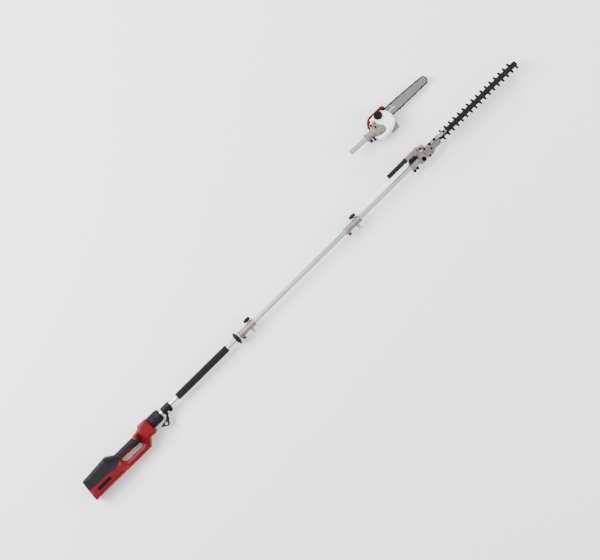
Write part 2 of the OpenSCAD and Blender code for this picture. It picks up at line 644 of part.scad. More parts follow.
// ---------- pole saw head ----------
// The groove round the tube shows how far it plugs into a coupler
plug_mark = -saw_tube_len + coupler_len / 2 - 1;
module saw_tube() color("#d6d7d9") saw_frame() difference() {
    pipe(-saw_tube_len, tube_seat, tube_r, tube_ir);
    pipe(plug_mark, plug_mark + 1.5, tube_r + 1, tube_r - 0.3);
}
module saw_drive_shaft() color("#c2c4c7") saw_frame() {
    square_tail(-saw_tube_len + 4, -saw_tube_len + 16);
    rod(-saw_tube_len + 16 - CUT, 62, shaft_r);
    translate([62 - CUT, 0, 0]) rotate([0, 90, 0]) cylinder(h = 5, r1 = 7, r2 = 3);
}
module saw_gear_case() color("#aaa49c") saw_frame() difference() {
    union() {
        rod(0, 60, 15.5);
        rod(0, 6, 17);
        block([4, -28, -8], [19, 0, 8]);
        cyl_z([5, 14], -5, 5, 5);
        cyl_z([72, -13], -12, 26, 12.6);
        block([44, -20, tank_z0 + 1], [70, 31, 17]);
        cyl_z([84, 2], tank_z0 + 1, 22, 20);
    }
    rod(-1, tube_seat + 2, fit_r);
    rod(0, 46, 9);
    rod(45, 58, shaft_r + run_gap);
    rod(57, 72, 9);
    block([-1, -30, -1], [20, 0, 1]);
    cyl_z([84, 2], tank_z0 - 1, 18, 16);
    cyl_z([11.5, -21], -10, 10, 2.5 + run_gap);
}
module saw_screws() color("#1b1b1d") saw_frame() {
    cyl_z([11.5, -21], -11, 8.1, 2.5);
    cyl_z([11.5, -21], 8.05, 13, 5);
    cyl_y([27, 0], -26, -15.55, 4);
    cyl_y([27, 0], -31, -26 + CUT, 6);
    for (p = [[48, 26], [60, 10]]) difference() {
        cyl_z(p, 17.05, 21, 4.2);
        cyl_z(p, 19, 22, 2);
    }
}
module saw_body_outline() polygon([
    [33, -22], [40, -42], [46, -46], [56, -47.5], [100, -46], [120, -37], [139, -22],
    [143.5, -8], [144.5, 8], [142, 24], [136, 37], [124, 47], [100, 53], [62, 53],
    [44, 44], [36, 30]
]);
module oil_tank() color("#f1f1ef") saw_frame() difference() {
    slab(tank_z0, tank_z1) difference() {
        saw_body_outline();
        // the corner that the gear case and tube fill
        polygon([[20, 60], [20, -19], [30, -19], [60, -27.5], [84, -27.5], [105.5, -17],
                 [105.5, 8], [92, 23.5], [73, 34], [60, 60]]);
    }
    slab(tank_z0 + 3, tank_z1 - 4) polygon([
        [60, -43], [98, -42], [118, -33], [134, -20], [139, -6], [140, 8], [137, 23],
        [131, 34], [118, 42], [112, 10], [112, -22], [88, -34], [60, -32]
    ]);
    cyl_z([96.6, 38], tank_z1 - 9, tank_z1 + 1, 15 + run_gap);
}
module oil_cap() color("#1a1a1c") saw_frame() {
    cyl_z([96.6, 38], tank_z1 - 8, tank_z1 + face_gap, 15);
    cyl_z([96.6, 38], tank_z1 + face_gap - CUT, tank_z1 + 9, 18.6);
    block([80, 36, tank_z1 + 8], [113, 40, tank_z1 + 13]);
}
module sprocket_cover() color("#c3202b") saw_frame() difference() {
    slab(cover_z0, bar_z + 4) union() {
        saw_body_outline();
        polygon([[143, 0], [144, 40], [141, 52], [136, 60], [68, 58], [56, 54], [46, 45], [36, 26]]);
    }
    // hollow for the bar's base, the chain and the sprocket
    slab(cover_z0 + 16, bar_z + 5) union() {
        translate([sprocket_x, bar_axis_y]) circle(r = 25);
        translate([sprocket_x, bar_axis_y - 25.5]) square([50, 51]);
    }
}
module drive_sprocket() color("#77797d") saw_frame() {
    cyl_z([sprocket_x, bar_axis_y], bar_z - bar_t / 2, bar_z + bar_t / 2, 13);
    cyl_z([sprocket_x, bar_axis_y], cover_z0 + 16.5, tank_z0 - face_gap, 5);
    for (a = [0 : 60 : 359]) translate([sprocket_x, bar_axis_y, bar_z]) rotate(a)
        translate([12.5, 0, 0]) cylinder(h = 2, r = 3, center = true);
}
bar_tip_r = 14;
module bar_shape(grow) {
    x_tip = bar_x1 - chain_h - bar_tip_r;
    hull() {
        translate([x_tip, bar_axis_y]) circle(r = bar_tip_r + grow);
        translate([bar_x0 + 60, bar_axis_y]) circle(r = bar_w / 2 + grow);
        translate([bar_x0 + grow, bar_axis_y - bar_w / 2 + 1 - grow]) square([1, bar_w - 2 + 2 * grow]);
    }
}
module guide_bar() color("#a8aaad") saw_frame() slab(bar_z - bar_t / 2, bar_z + bar_t / 2) difference() {
    bar_shape(-0.2);
    translate([134, bar_axis_y - 3.3]) square([42, 6.6]);
    translate([164, bar_axis_y + 11]) circle(r = 3);
    translate([bar_x0 - 1, bar_axis_y]) circle(r = 8);
}
module chain_loop(grow) hull() {
    translate([sprocket_x, bar_axis_y]) circle(r = 16 + grow);
    bar_shape(grow);
}
module saw_chain() color("#222225") saw_frame()
    slab(bar_z - 2.6, bar_z + 2.6) difference() { chain_loop(chain_h); chain_loop(0.05); }
module bumper_plate() color("#8d8480") saw_frame() slab(tank_z0, tank_z0 + 3) difference() {
    polygon([[96, -44], [99, -54.5], [134, -53.5], [141, -21], [110, -36]]);
    saw_body_outline();
}

// ---------- assembly ----------
red_shell_upper();
red_shell_lower();
black_cover_upper();
black_cover_lower();
front_collar();
label_plate();
shell_screws();
battery_pack();
battery_latch();
motor();
motor_coupling();
trigger_switch();
trigger();
lock_off_button();
rear_tube();
rear_drive_shaft();
rear_shaft_bushes();
strap_clamp();
strap_clamp_screw();
strap_hook();
foam_grip();
hand_stop_ring();
coupler_1();
coupler_1_knob();
coupler_1_pin();
coupler_1_screws();
middle_tube();
middle_drive_shaft();
coupler_2();
coupler_2_knob();
coupler_2_pin();
coupler_2_ring();
coupler_2_screws();
front_tube();
front_drive_shaft();
head_clamp();
head_clamp_screws();
lock_release();
pivot_bolt();
pivot_gear();
gear_case();
case_screws();
crank_gear();
swing_lever();
lever_grip();
blade_bracket();
blade_bolts();
upper_blade();
lower_blade();
saw_tube();
saw_drive_shaft();
saw_gear_case();
saw_screws();
oil_tank();
oil_cap();
sprocket_cover();
drive_sprocket();
guide_bar();
saw_chain();
bumper_plate();
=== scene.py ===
"""Cordless pole tool kit: power unit, plug-together pole, trimmer head and pole saw head."""

import json
import math

import bmesh
import bpy
import numpy as np
from bpy.props import FloatProperty, FloatVectorProperty, PointerProperty
from mathutils import Matrix, Vector, geometry


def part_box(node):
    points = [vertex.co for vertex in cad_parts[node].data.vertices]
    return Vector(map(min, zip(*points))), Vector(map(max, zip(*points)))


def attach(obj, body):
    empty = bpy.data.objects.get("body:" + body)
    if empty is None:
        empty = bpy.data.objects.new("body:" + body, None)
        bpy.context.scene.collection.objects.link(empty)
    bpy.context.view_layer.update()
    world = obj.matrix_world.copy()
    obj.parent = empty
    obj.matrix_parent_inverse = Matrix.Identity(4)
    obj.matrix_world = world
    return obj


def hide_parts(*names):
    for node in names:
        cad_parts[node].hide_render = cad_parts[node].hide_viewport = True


bl_info = {
    "name": "Pole tool kit",
    "version": (1, 0, 0),
    "blender": (4, 5, 0),
    "location": "View3D > Sidebar > Pole tool",
    "description": "Builds the finished pieces of a pole tool kit around its packed frame",
    "category": "Add Mesh",
}

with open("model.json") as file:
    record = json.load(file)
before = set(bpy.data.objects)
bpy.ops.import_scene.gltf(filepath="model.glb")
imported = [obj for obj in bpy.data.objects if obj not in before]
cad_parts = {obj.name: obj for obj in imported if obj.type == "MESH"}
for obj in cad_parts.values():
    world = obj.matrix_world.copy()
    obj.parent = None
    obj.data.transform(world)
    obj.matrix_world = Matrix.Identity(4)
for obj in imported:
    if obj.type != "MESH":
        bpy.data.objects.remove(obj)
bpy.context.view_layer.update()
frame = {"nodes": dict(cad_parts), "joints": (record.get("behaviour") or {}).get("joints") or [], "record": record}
MM = 0.001
JOINTS = {j["name"]: j for j in frame["joints"]}


# ---------- places, worked out from the frame ----------
def tool_matrix():
    """Millimetres along the pole from the rear end, y up the handle, z off the floor."""
    shell_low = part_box("red_shell_upper")[0]
    tube_low, tube_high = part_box("rear_tube")
    axis = (tube_low + tube_high) / 2
    return Matrix.Translation((shell_low.x, axis.y, axis.z)) @ Matrix.Scale(MM, 4)


def head_matrix():
    """Millimetres from the swing pivot: x forward, z along the pivot bolt."""
    joint = JOINTS["head_swing"]
    bolt = -Vector(joint["axis"])
    forward = Vector((1, 0, 0))
    up = bolt.cross(forward)
    turn = Matrix((forward, up, bolt)).transposed().to_4x4()
    return Matrix.Translation(joint["pos_m"]) @ turn @ Matrix.Scale(MM, 4)


def saw_matrix():
    """Millimetres from the rear of the saw's sleeve: x along the bar, z off the floor."""
    joint = JOINTS["saw_shaft_spin"]
    along = Vector(joint["axis"])
    yaw = math.atan2(along.y, along.x)
    turn = Matrix.Rotation(yaw, 4, "Z")
    return Matrix.Translation(joint["pos_m"]) @ turn @ Matrix.Scale(MM, 4)


TOOL = tool_matrix()
HEAD = head_matrix()
SAW = saw_matrix()


def span(node, matrix):
    """Lowest and highest corners of a CAD node in the millimetres of a piece's frame."""
    inverse = matrix.inverted()
    points = [inverse @ v.co for v in frame["nodes"][node].data.vertices]
    low = Vector([min(p[i] for p in points) for i in range(3)])
    high = Vector([max(p[i] for p in points) for i in range(3)])
    return low, high


# ---------- materials ----------
def linear(hex_colour):
    """An sRGB hex colour as linear RGBA."""
    parts = [int(hex_colour[i : i + 2], 16) / 255 for i in (1, 3, 5)]
    return [c / 12.92 if c <= 0.04045 else ((c + 0.055) / 1.055) ** 2.4 for c in parts] + [1.0]


def add(tree, kind, links=(), **settings):
    """One node: settings are its properties or its inputs by name, links feed its inputs."""
    node = tree.nodes.new(kind)
    for name, value in settings.items():
        if hasattr(node, name):
            setattr(node, name, value)
        else:
            node.inputs[name.replace("_", " ")].default_value = value
    for key, socket in dict(links).items():
        tree.links.new(socket, node.inputs[key])
    return node


def surface(name, **shader):
    """A new material with its shader settings: the material, its tree, shader and own space."""
    material = bpy.data.materials.new(name)
    material.use_nodes = True
    tree = material.node_tree
    bsdf = tree.nodes["Principled BSDF"]
    for key, value in shader.items():
        bsdf.inputs[key.replace("_", " ")].default_value = value
    place = add(tree, "ShaderNodeTexCoord").outputs["Object"]
    return material, tree, bsdf, place


def grain(tree, place, size_mm, detail, stretch=(1, 1, 1), roughness=0.5):
    """Noise whose features are size_mm across, drawn out along an axis where asked."""
    mapping = add(tree, "ShaderNodeMapping", {"Vector": place}, Scale=stretch)
    return add(
        tree, "ShaderNodeTexNoise", {"Vector": mapping.outputs["Vector"]},
        Scale=1 / (size_mm * MM), Detail=detail, Roughness=roughness,
    ).outputs["Fac"]


def vary(tree, socket, pattern, low, high, start=0.3, end=0.7):
    """Runs a socket between two numbers or colours while the pattern goes from start to end."""
    numbers = isinstance(low, float)
    value = add(
        tree, "ShaderNodeMapRange", {"Value": pattern}, From_Min=start, From_Max=end,
        To_Min=low if numbers else 0, To_Max=high if numbers else 1,
    ).outputs["Result"]
    if not numbers:
        mix = add(tree, "ShaderNodeMix", {"Factor": value}, data_type="RGBA")
        for index, tone in ((6, low), (7, high)):
            mix.inputs[index].default_value = linear(tone) if isinstance(tone, str) else tone
        value = mix.outputs[2]
    tree.links.new(value, socket)


def shades(colour, dark, light):
    """A darker and a lighter shade of a property's colour."""
    return [[min(1, c * factor) for c in colour] + [1.0] for factor in (dark, light)]


def relief(tree, bsdf, height, depth_mm, strength):
    """Gives the skin relief of a real depth."""
    bump = add(
        tree, "ShaderNodeBump", {"Height": height}, Strength=strength, Distance=depth_mm * MM
    )
    tree.links.new(bump.outputs["Normal"], bsdf.inputs["Normal"])


def moulded_abs(name, dark, light, gloss):
    """Moulded ABS: a fine spark-eroded grain breaks the highlight, handling rubs it duller."""
    material, tree, bsdf, place = surface(name, Roughness=gloss, IOR=1.53, Specular_IOR_Level=0.17)
    vary(tree, bsdf.inputs["Base Color"], grain(tree, place, 60, 4), dark, light)
    rubbed = grain(tree, place, 14, 6, roughness=0.7)
    vary(tree, bsdf.inputs["Roughness"], rubbed, gloss - 0.07, gloss + 0.1)
    # the mould's eroded grain is 0.15 mm, too fine to show, so it is drawn at 0.8 mm
    relief(tree, bsdf, grain(tree, place, 0.8, 2), 0.05, 0.35)
    return material


def filled_nylon(name="glass_filled_nylon"):
    """Glass-filled nylon: dull charcoal with a coarser grain and faint flow marks."""
    material, tree, bsdf, place = surface(name, Roughness=0.5, IOR=1.53, Specular_IOR_Level=0.15)
    flow = grain(tree, place, 30, 5, (0.3, 1, 1))
    vary(tree, bsdf.inputs["Base Color"], flow, *shades(props().black, 0.75, 1.25))
    vary(tree, bsdf.inputs["Roughness"], grain(tree, place, 9, 5), 0.42, 0.6)
    relief(tree, bsdf, grain(tree, place, 1.0, 3), 0.08, 0.5)
    return material


def soft_rubber():
    """Overmoulded TPE: matt and velvety, with a stipple 1.2 mm across."""
    material, tree, bsdf, place = surface(
        "stippled_tpe", Roughness=0.72, IOR=1.5, Sheen_Weight=0.05, Specular_IOR_Level=0.2
    )
    smudges = grain(tree, place, 20, 3)
    vary(tree, bsdf.inputs["Base Color"], smudges, "#080809", "#121213", 0, 1)
    stipple = add(
        tree, "ShaderNodeTexVoronoi", {"Vector": place}, Scale=1 / (1.2 * MM), Randomness=0.35
    )
    relief(tree, bsdf, stipple.outputs["Distance"], 0.12, 0.7)
    return material


def foam_rubber():
    """Closed-cell NBR foam: a soft dull black skin with open cells about 1.5 mm across."""
    material, tree, bsdf, place = surface(
        "nbr_foam", Roughness=0.88, IOR=1.45, Sheen_Weight=0.08, Specular_IOR_Level=0.2
    )
    cells = add(tree, "ShaderNodeTexVoronoi", {"Vector": place}, Scale=1 / (1.5 * MM))
    cell = cells.outputs["Distance"]
    vary(tree, bsdf.inputs["Base Color"], cell, "#050506", "#151517", 0.1, 0.7)
    swell = grain(tree, place, 12, 4)
    both = add(tree, "ShaderNodeMath", {0: cell, 1: swell}, operation="ADD")
    relief(tree, bsdf, both.outputs[0], 0.25, 0.6)
    return material


def drawn_aluminium():
    """Clear-anodised drawn aluminium: draw lines run along the tube and stretch its highlight."""
    material, tree, bsdf, place = surface(
        "anodised_aluminium", Metallic=1.0, Roughness=0.3, Anisotropic=0.35
    )
    # draw lines 0.4 mm apart, drawn 40 times longer than they are wide
    lines = grain(tree, place, 0.4, 4, (0.025, 1, 1), 0.6)
    smears = grain(tree, place, 45, 5, (0.35, 1, 1))
    vary(tree, bsdf.inputs["Base Color"], smears, "#cfd0d2", "#e6e7e8", 0, 1)
    vary(tree, bsdf.inputs["Roughness"], lines, 0.16, 0.3)
    relief(tree, bsdf, lines, 0.03, 0.3)
    return material


def cast_alloy():
    """Die-cast aluminium, bead-blasted: warm grey with a sandy skin, its colour darkened in hollows and corners by
    painted shade from ambient occlusion.
    """
    material, tree, bsdf, place = surface("blasted_casting", Metallic=0.9, Roughness=0.42)
    patches = grain(tree, place, 22, 6, roughness=0.65)
    # painted shade: ambient occlusion darkens the colour in hollows and corners, multiplied into the random tone
    # patches
    painted_hollow_shade = add(
        tree, "ShaderNodeAmbientOcclusion", samples=6, only_local=True, Distance=0.006
    ).outputs["AO"]
    patches_and_painted_shade = add(tree, "ShaderNodeMath", {0: patches, 1: painted_hollow_shade}, operation="MULTIPLY")
    tones = shades(props().casting, 0.4, 1.0)
    vary(tree, bsdf.inputs["Base Color"], patches_and_painted_shade.outputs[0], *tones, 0.1, 0.6)
    vary(tree, bsdf.inputs["Roughness"], grain(tree, place, 4, 4), 0.34, 0.52)
    # blasting leaves pits of 0.2 mm, drawn at 0.9 mm
    relief(tree, bsdf, grain(tree, place, 0.9, 3), 0.08, 0.5)
    return material


def machined_steel(name, dark, light, rough, line_mm=0.5, along=(1, 0.04, 1)):
    """Ground or stamped steel: fine lines left by the wheel, and a rolled tone under them."""
    material, tree, bsdf, place = surface(name, Metallic=1.0, Roughness=rough, Anisotropic=0.2)
    lines = grain(tree, place, line_mm, 4, along, 0.65)
    vary(tree, bsdf.inputs["Base Color"], grain(tree, place, 25, 5), dark, light, 0, 1)
    vary(tree, bsdf.inputs["Roughness"], lines, rough - 0.08, rough + 0.12)
    relief(tree, bsdf, lines, 0.03, 0.35)
    return material


def black_oxide(name="black_oxide_steel", rough=0.42):
    """Black-oxide steel: blue-black and oily, rubbed to bare metal in specks."""
    material, tree, bsdf, place = surface(
        name, Metallic=0.9, Roughness=rough, Specular_IOR_Level=0.2
    )
    specks = grain(tree, place, 5, 7, roughness=0.75)
    vary(tree, bsdf.inputs["Base Color"], specks, "#050506", "#26282b", 0.58, 0.8)
    vary(tree, bsdf.inputs["Roughness"], grain(tree, place, 3, 4), rough - 0.1, rough + 0.14)
    relief(tree, bsdf, grain(tree, place, 0.7, 2), 0.03, 0.35)
    return material


def tank_polyethylene():
    """Blow-moulded polyethylene: waxy white that lets a little light in, with a soft ripple."""
    material, tree, bsdf, place = surface(
        "blow_moulded_polyethylene", Roughness=0.36, IOR=1.51, Subsurface_Weight=0.12,
        Subsurface_Scale=0.004,
    )
    clouds = grain(tree, place, 40, 4)
    vary(tree, bsdf.inputs["Base Color"], clouds, *shades(props().tank, 0.92, 1.0), 0, 1)
    vary(tree, bsdf.inputs["Roughness"], grain(tree, place, 10, 5), 0.3, 0.44)
    relief(tree, bsdf, grain(tree, place, 9, 2), 0.12, 0.3)
    return material


def sintered_bronze():
    """Sintered bronze: a dull yellow, porous and oil-darkened."""
    material, tree, bsdf, place = surface("sintered_bronze", Metallic=1.0, Roughness=0.45)
    pores = grain(tree, place, 1.5, 6)
    vary(tree, bsdf.inputs["Base Color"], pores, "#6f5630", "#b8975a", 0, 1)
    relief(tree, bsdf, grain(tree, place, 0.6, 3), 0.04, 0.5)
    return material


SLOT_MAKERS = {
    "red_abs": lambda: moulded_abs("red_abs", *shades(props().red, 0.8, 1.15), 0.34),
    "black_pa": filled_nylon,
    "black_grip": soft_rubber,
    "label_plate": lambda: moulded_abs("gloss_label", "#030303", "#070708", 0.2),
    "black_screws": black_oxide,
    "motor_steel": lambda: machined_steel("plated_motor_can", "#8c8e92", "#a9abae", 0.34),
    "pole_aluminium": drawn_aluminium,
    "shaft_steel": lambda: machined_steel("ground_shaft_steel", "#8f9194", "#b4b6b9", 0.28),
    "bush_bronze": sintered_bronze,
    "foam": foam_rubber,
    "cast_alloy": cast_alloy,
    "zinc_steel": lambda: machined_steel("zinc_plated_steel", "#b4b6b8", "#d8d9da", 0.26, 1.2),
    "gear_steel": lambda: machined_steel("hobbed_gear_steel", "#77797c", "#97999d", 0.36),
    "bracket_steel": lambda: machined_steel("stamped_bracket_steel", "#7d7e82", "#9fa0a4", 0.4),
    "blade_steel": lambda: black_oxide("black_blade_steel", 0.36),
    "bar_steel": lambda: machined_steel(
        "ground_bar_steel", "#797a7d", "#98999c", 0.34, 0.6, (0.04, 1, 1)
    ),
    "chain_steel": lambda: black_oxide("oiled_chain_steel", 0.38),
    "white_pe": tank_polyethylene,
    "cap_black": lambda: filled_nylon("black_polypropylene"),
    "bumper_steel": lambda: machined_steel("stamped_bumper_steel", "#7f7672", "#9d9490", 0.42),
}
SLOT_OF = {part["node"]: part["material_slot"] for part in frame["record"]["subparts"]}
made = {}


def material_of(slot):
    """The finish of a material slot, made when it is first asked for."""
    if slot not in made:
        made[slot] = SLOT_MAKERS[slot]()
    return made[slot]


# ---------- mesh helpers ----------
def to_object(name, bm, slot, body, matrix=None, replaces=()):
    """A finished piece from a bmesh in a frame's millimetres."""
    if matrix is not None:
        bm.transform(matrix)
    bmesh.ops.remove_doubles(bm, verts=bm.verts, dist=2e-6)
    bmesh.ops.dissolve_degenerate(bm, edges=bm.edges, dist=1e-6)
    bmesh.ops.recalc_face_normals(bm, faces=bm.faces)
    mesh = bpy.data.meshes.new(name)
    bm.to_mesh(mesh)
    bm.free()
    piece = bpy.data.objects.new(name, mesh)
    bpy.context.scene.collection.objects.link(piece)
    mesh.materials.append(material_of(slot))
    shade(piece)
    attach(piece, body)
    if replaces:
        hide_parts(*replaces)
    return piece


SHARP = math.radians(35)


def shade(piece):
    """Smooth shading that breaks at real edges."""
    bm = bmesh.new()
    bm.from_mesh(piece.data)
    for face in bm.faces:
        face.smooth = True
    for edge in bm.edges:
        edge.smooth = len(edge.link_faces) == 2 and edge.calc_face_angle(0) < SHARP
    bm.to_mesh(piece.data)
    bm.free()


def apply_modifiers(piece):
    """The piece with its modifiers made real."""
    graph = bpy.context.evaluated_depsgraph_get()
    mesh = bpy.data.meshes.new_from_object(piece.evaluated_get(graph))
    piece.modifiers.clear()
    old = piece.data
    piece.data = mesh
    bpy.data.meshes.remove(old)


def cut(piece, cutters, matrix):
    """The piece less cutters given in a frame's millimetres."""
    for bm in cutters:
        bm.transform(matrix)
        bmesh.ops.recalc_face_normals(bm, faces=bm.faces)
        mesh = bpy.data.meshes.new("cutter")
        bm.to_mesh(mesh)
        bm.free()
        cutter = bpy.data.objects.new("cutter", mesh)
        bpy.context.scene.collection.objects.link(cutter)
        modifier = piece.modifiers.new("cut", "BOOLEAN")
        modifier.operation = "DIFFERENCE"
        modifier.solver = "EXACT"
        modifier.object = cutter
        apply_modifiers(piece)
        bpy.data.objects.remove(cutter)
        bpy.data.meshes.remove(mesh)
    shade(piece)


def brick(low, high):
    """A block between two corners, for cutting with."""
    bm = bmesh.new()
    made = bmesh.ops.create_cube(bm, size=1)["verts"]
    for v in made:
        v.co = Vector([low[i] if v.co[i] < 0 else high[i] for i in range(3)])
    return bm


def turned(profile, segments=64, wave=None, bm=None, matrix=None):
    """A solid turned about x from (x, radius) points; wave(x, angle) adds to the radius."""
    bm = bm or bmesh.new()
    matrix = matrix or Matrix()
    rings = []
    for x, radius in profile:
        ring = []
        for i in range(segments):
            a = 2 * math.pi * i / segments
            r = radius + (wave(x, a) if wave else 0)
            ring.append(bm.verts.new(matrix @ Vector((x, r * math.cos(a), r * math.sin(a)))))
        rings.append(ring)
    for a, b in zip(rings, rings[1:]):
        for i in range(segments):
            k = (i + 1) % segments
            bm.faces.new((a[i], a[k], b[k], b[i]))
    if profile[0] != profile[-1]:
        bm.faces.new(rings[0])
        bm.faces.new(rings[-1])
    return bm


RIM_STEPS = 4


def rim(x, radius, fillet, turn):
    """Points of a rounded rim at x; turn is 1 where the solid lies ahead, -1 behind."""
    angles = [math.pi / 2 * i / RIM_STEPS for i in range(RIM_STEPS + 1)]
    if turn < 0:
        angles.reverse()
    return [
        (x + turn * fillet * (1 - math.cos(a)), radius - fillet * (1 - math.sin(a)))
        for a in angles
    ]


UP = (0, 0, 1)


def upright(point, axis):
    """A frame at point whose x runs along a direction."""
    along = Vector(axis)
    return Matrix.Translation(point) @ along.to_track_quat("X", "Z").to_matrix().to_4x4()


def inside(points, loop):
    """Which points lie inside a loop."""
    x, y = points[:, 0], points[:, 1]
    result = np.zeros(len(points), bool)
    for (x0, y0), (x1, y1) in zip(loop, np.roll(loop, -1, axis=0)):
        crosses = (y0 > y) != (y1 > y)
        with np.errstate(divide="ignore", invalid="ignore"):
            result ^= crosses & (x < (x1 - x0) * (y - y0) / (y1 - y0) + x0)
    return result


def edge_distance(points, loop):
    """Distance of each point from a loop's sides."""
    best = np.full(len(points), np.inf)
    for a, b in zip(loop, np.roll(loop, -1, axis=0)):
        side = b - a
        t = np.clip(((points - a) @ side) / max(side @ side, 1e-12), 0, 1)
        best = np.minimum(best, np.linalg.norm(points - a - t[:, None] * side, axis=1))
    return best


def signed_area(loop):
    """Twice a loop's area, positive where it runs anticlockwise."""
    ahead = np.roll(loop, -1, axis=0)
    return np.sum(loop[:, 0] * ahead[:, 1] - loop[:, 1] * ahead[:, 0])


def resampled(loop, step):
    """The loop with points no further apart than step."""
    result = []
    for a, b in zip(loop, np.roll(loop, -1, axis=0)):
        count = max(1, math.ceil(np.linalg.norm(b - a) / step))
        result += [a + (b - a) * i / count for i in range(count)]
    return np.array(result)


def eased(points, radius, steps=5):
    """An outline with its corners turned into arcs, as large as its sides allow."""
    result = []
    count = len(points)
    for i in range(count):
        corner = Vector(points[i])
        before = Vector(points[i - 1]) - corner
        after = Vector(points[(i + 1) % count]) - corner
        half = before.angle(after) / 2
        reach = min(radius / max(math.tan(half), 0.05), before.length * 0.48, after.length * 0.48)
        a = corner + before.normalized() * reach
        b = corner + after.normalized() * reach
        for k in range(steps + 1):
            t = k / steps
            result.append((1 - t) ** 2 * a + 2 * t * (1 - t) * corner + t * t * b)
    return np.array([tuple(p) for p in result])


# power of the rounding curve, between a quarter circle's 2 and a square corner
BULGE = 2.6
SEAM_DEPTH_MM = 0.8
THINNEST_MM = 0.25
CROWN_ROWS = 10


def crown(depth, height, reach):
    """Height of a rounded side at a depth inside its outline."""
    f = np.clip(depth / reach, 0, 1)
    return height * (1 - (1 - f) ** BULGE) ** (1 / BULGE)


def pillow(loops, shape, base=0.0, step=3.2, keep=None, seam=None):
    """A closed solid over an outline and its holes, whose top rounds down to its edges.

    shape(x, y) gives the height over the base and how far in the rounding reaches. keep(points)
    picks the part of the outline that is made, and a groove follows the seam.
    """
    loops = [resampled(loop, step) for loop in loops]
    points, edges = [], []
    for loop in loops:
        start = len(points)
        points += list(loop)
        edges += [(start + i, start + (i + 1) % len(loop)) for i in range(len(loop))]
    extra = []
    fractions = [
        1 - math.cos(math.pi / 2 * k / (CROWN_ROWS - 1)) ** (2 / BULGE)
        for k in range(1, CROWN_ROWS)
    ]
    for number, loop in enumerate(loops):
        along = np.roll(loop, -1, axis=0) - np.roll(loop, 1, axis=0)
        along /= np.maximum(np.linalg.norm(along, axis=1), 1e-9)[:, None]
        inward = np.stack([-along[:, 1], along[:, 0]], axis=1)
        if (signed_area(loop) < 0) != (number > 0):
            inward = -inward
        reach = shape(loop[:, 0], loop[:, 1])[1]
        for f in fractions:
            extra.append((loop + inward * (reach * f)[:, None], reach * f))
    low, high = loops[0].min(0), loops[0].max(0)
    xs, ys = np.arange(low[0], high[0], step), np.arange(low[1], high[1], step)
    lattice = np.stack(np.meshgrid(xs, ys), axis=-1).reshape(-1, 2)
    lattice[:, 0] += step / 2 * (np.round((lattice[:, 1] - low[1]) / step) % 2)
    extra.append((lattice, shape(lattice[:, 0], lattice[:, 1])[1] + step * 0.6))
    for candidates, least in extra:
        depth = np.min([edge_distance(candidates, loop) for loop in loops], axis=0)
        good = inside(candidates, loops[0]) & (depth > least * 0.985 - 1e-6)
        for hole in loops[1:]:
            good &= ~inside(candidates, hole)
        if seam is not None:
            good &= edge_distance(candidates, seam) > 1.2
        points += list(candidates[good])
    if seam is not None:
        line = resampled(seam, step)
        start = len(points)
        points += list(line)
        edges += [(start + i, start + (i + 1) % len(line)) for i in range(len(line))]
        along = np.roll(line, -1, axis=0) - np.roll(line, 1, axis=0)
        side = np.stack([-along[:, 1], along[:, 0]], axis=1)
        side /= np.maximum(np.linalg.norm(side, axis=1), 1e-9)[:, None]
        for offset in (-0.8, 0.8):
            near = line + side * offset
            depth = np.min([edge_distance(near, loop) for loop in loops], axis=0)
            points += list(near[(depth > 0.8) & (edge_distance(near, seam) > 0.6)])
    flat = geometry.delaunay_2d_cdt([Vector(p) for p in points], edges, [], 0, 1e-4)
    flat_points = np.array([tuple(v) for v in flat[0]])
    faces = np.array(flat[2])
    middle = flat_points[faces].mean(axis=1)
    wanted = inside(middle, loops[0])
    for hole in loops[1:]:
        wanted &= ~inside(middle, hole)
    if keep is not None:
        wanted &= keep(middle)
    depth = np.min([edge_distance(flat_points, loop) for loop in loops], axis=0)
    depth[depth < 1e-3] = 0
    height, reach = shape(flat_points[:, 0], flat_points[:, 1])
    top = crown(depth, height, reach)
    if seam is not None:
        top -= SEAM_DEPTH_MM * (edge_distance(flat_points, seam) < 0.05)
    bm = bmesh.new()
    upper, lower = {}, {}
    for tri in faces[wanted]:
        for i in tri:
            if i not in upper:
                x, y = flat_points[i]
                upper[i] = bm.verts.new((x, y, base + max(top[i], THINNEST_MM)))
                lower[i] = bm.verts.new((x, y, base))
        a, b, c = (int(i) for i in tri)
        bm.faces.new((upper[a], upper[b], upper[c]))
        bm.faces.new((lower[c], lower[b], lower[a]))
    rims = {}
    for tri in faces[wanted]:
        for a, b in zip(tri, np.roll(tri, -1)):
            key = (min(a, b), max(a, b))
            rims[key] = None if key in rims else (a, b)
    for a, b in filter(None, rims.values()):
        bm.faces.new((upper[b], upper[a], lower[a], lower[b]))
    return bm


def ramp(x, start, end):
    """0 before start, 1 after end, with a straight run between rounded corners."""
    t = np.clip((x - start) / (end - start), 0, 1)
    return 0.55 * t + 0.45 * t * t * (3 - 2 * t)


def plate(outline, z0, z1, bm=None, chamfer=0.0):
    """A flat plate with its edges broken on both faces."""
    bm = bm or bmesh.new()
    outline = [Vector(p) for p in outline]
    centre = sum(outline, Vector((0, 0))) / len(outline)
    inward = [(centre - p).normalized() for p in outline]
    rings = [
        [bm.verts.new((*(p + way * inset), z)) for p, way in zip(outline, inward)]
        for z, inset in ((z0, chamfer), (z0 + chamfer, 0), (z1 - chamfer, 0), (z1, chamfer))
    ]
    bm.faces.new(rings[0][::-1])
    bm.faces.new(rings[-1])
    for a, b in zip(rings, rings[1:]):
        for i in range(len(a)):
            k = (i + 1) % len(a)
            bm.faces.new((a[i], a[k], b[k], b[i]))
    return bm


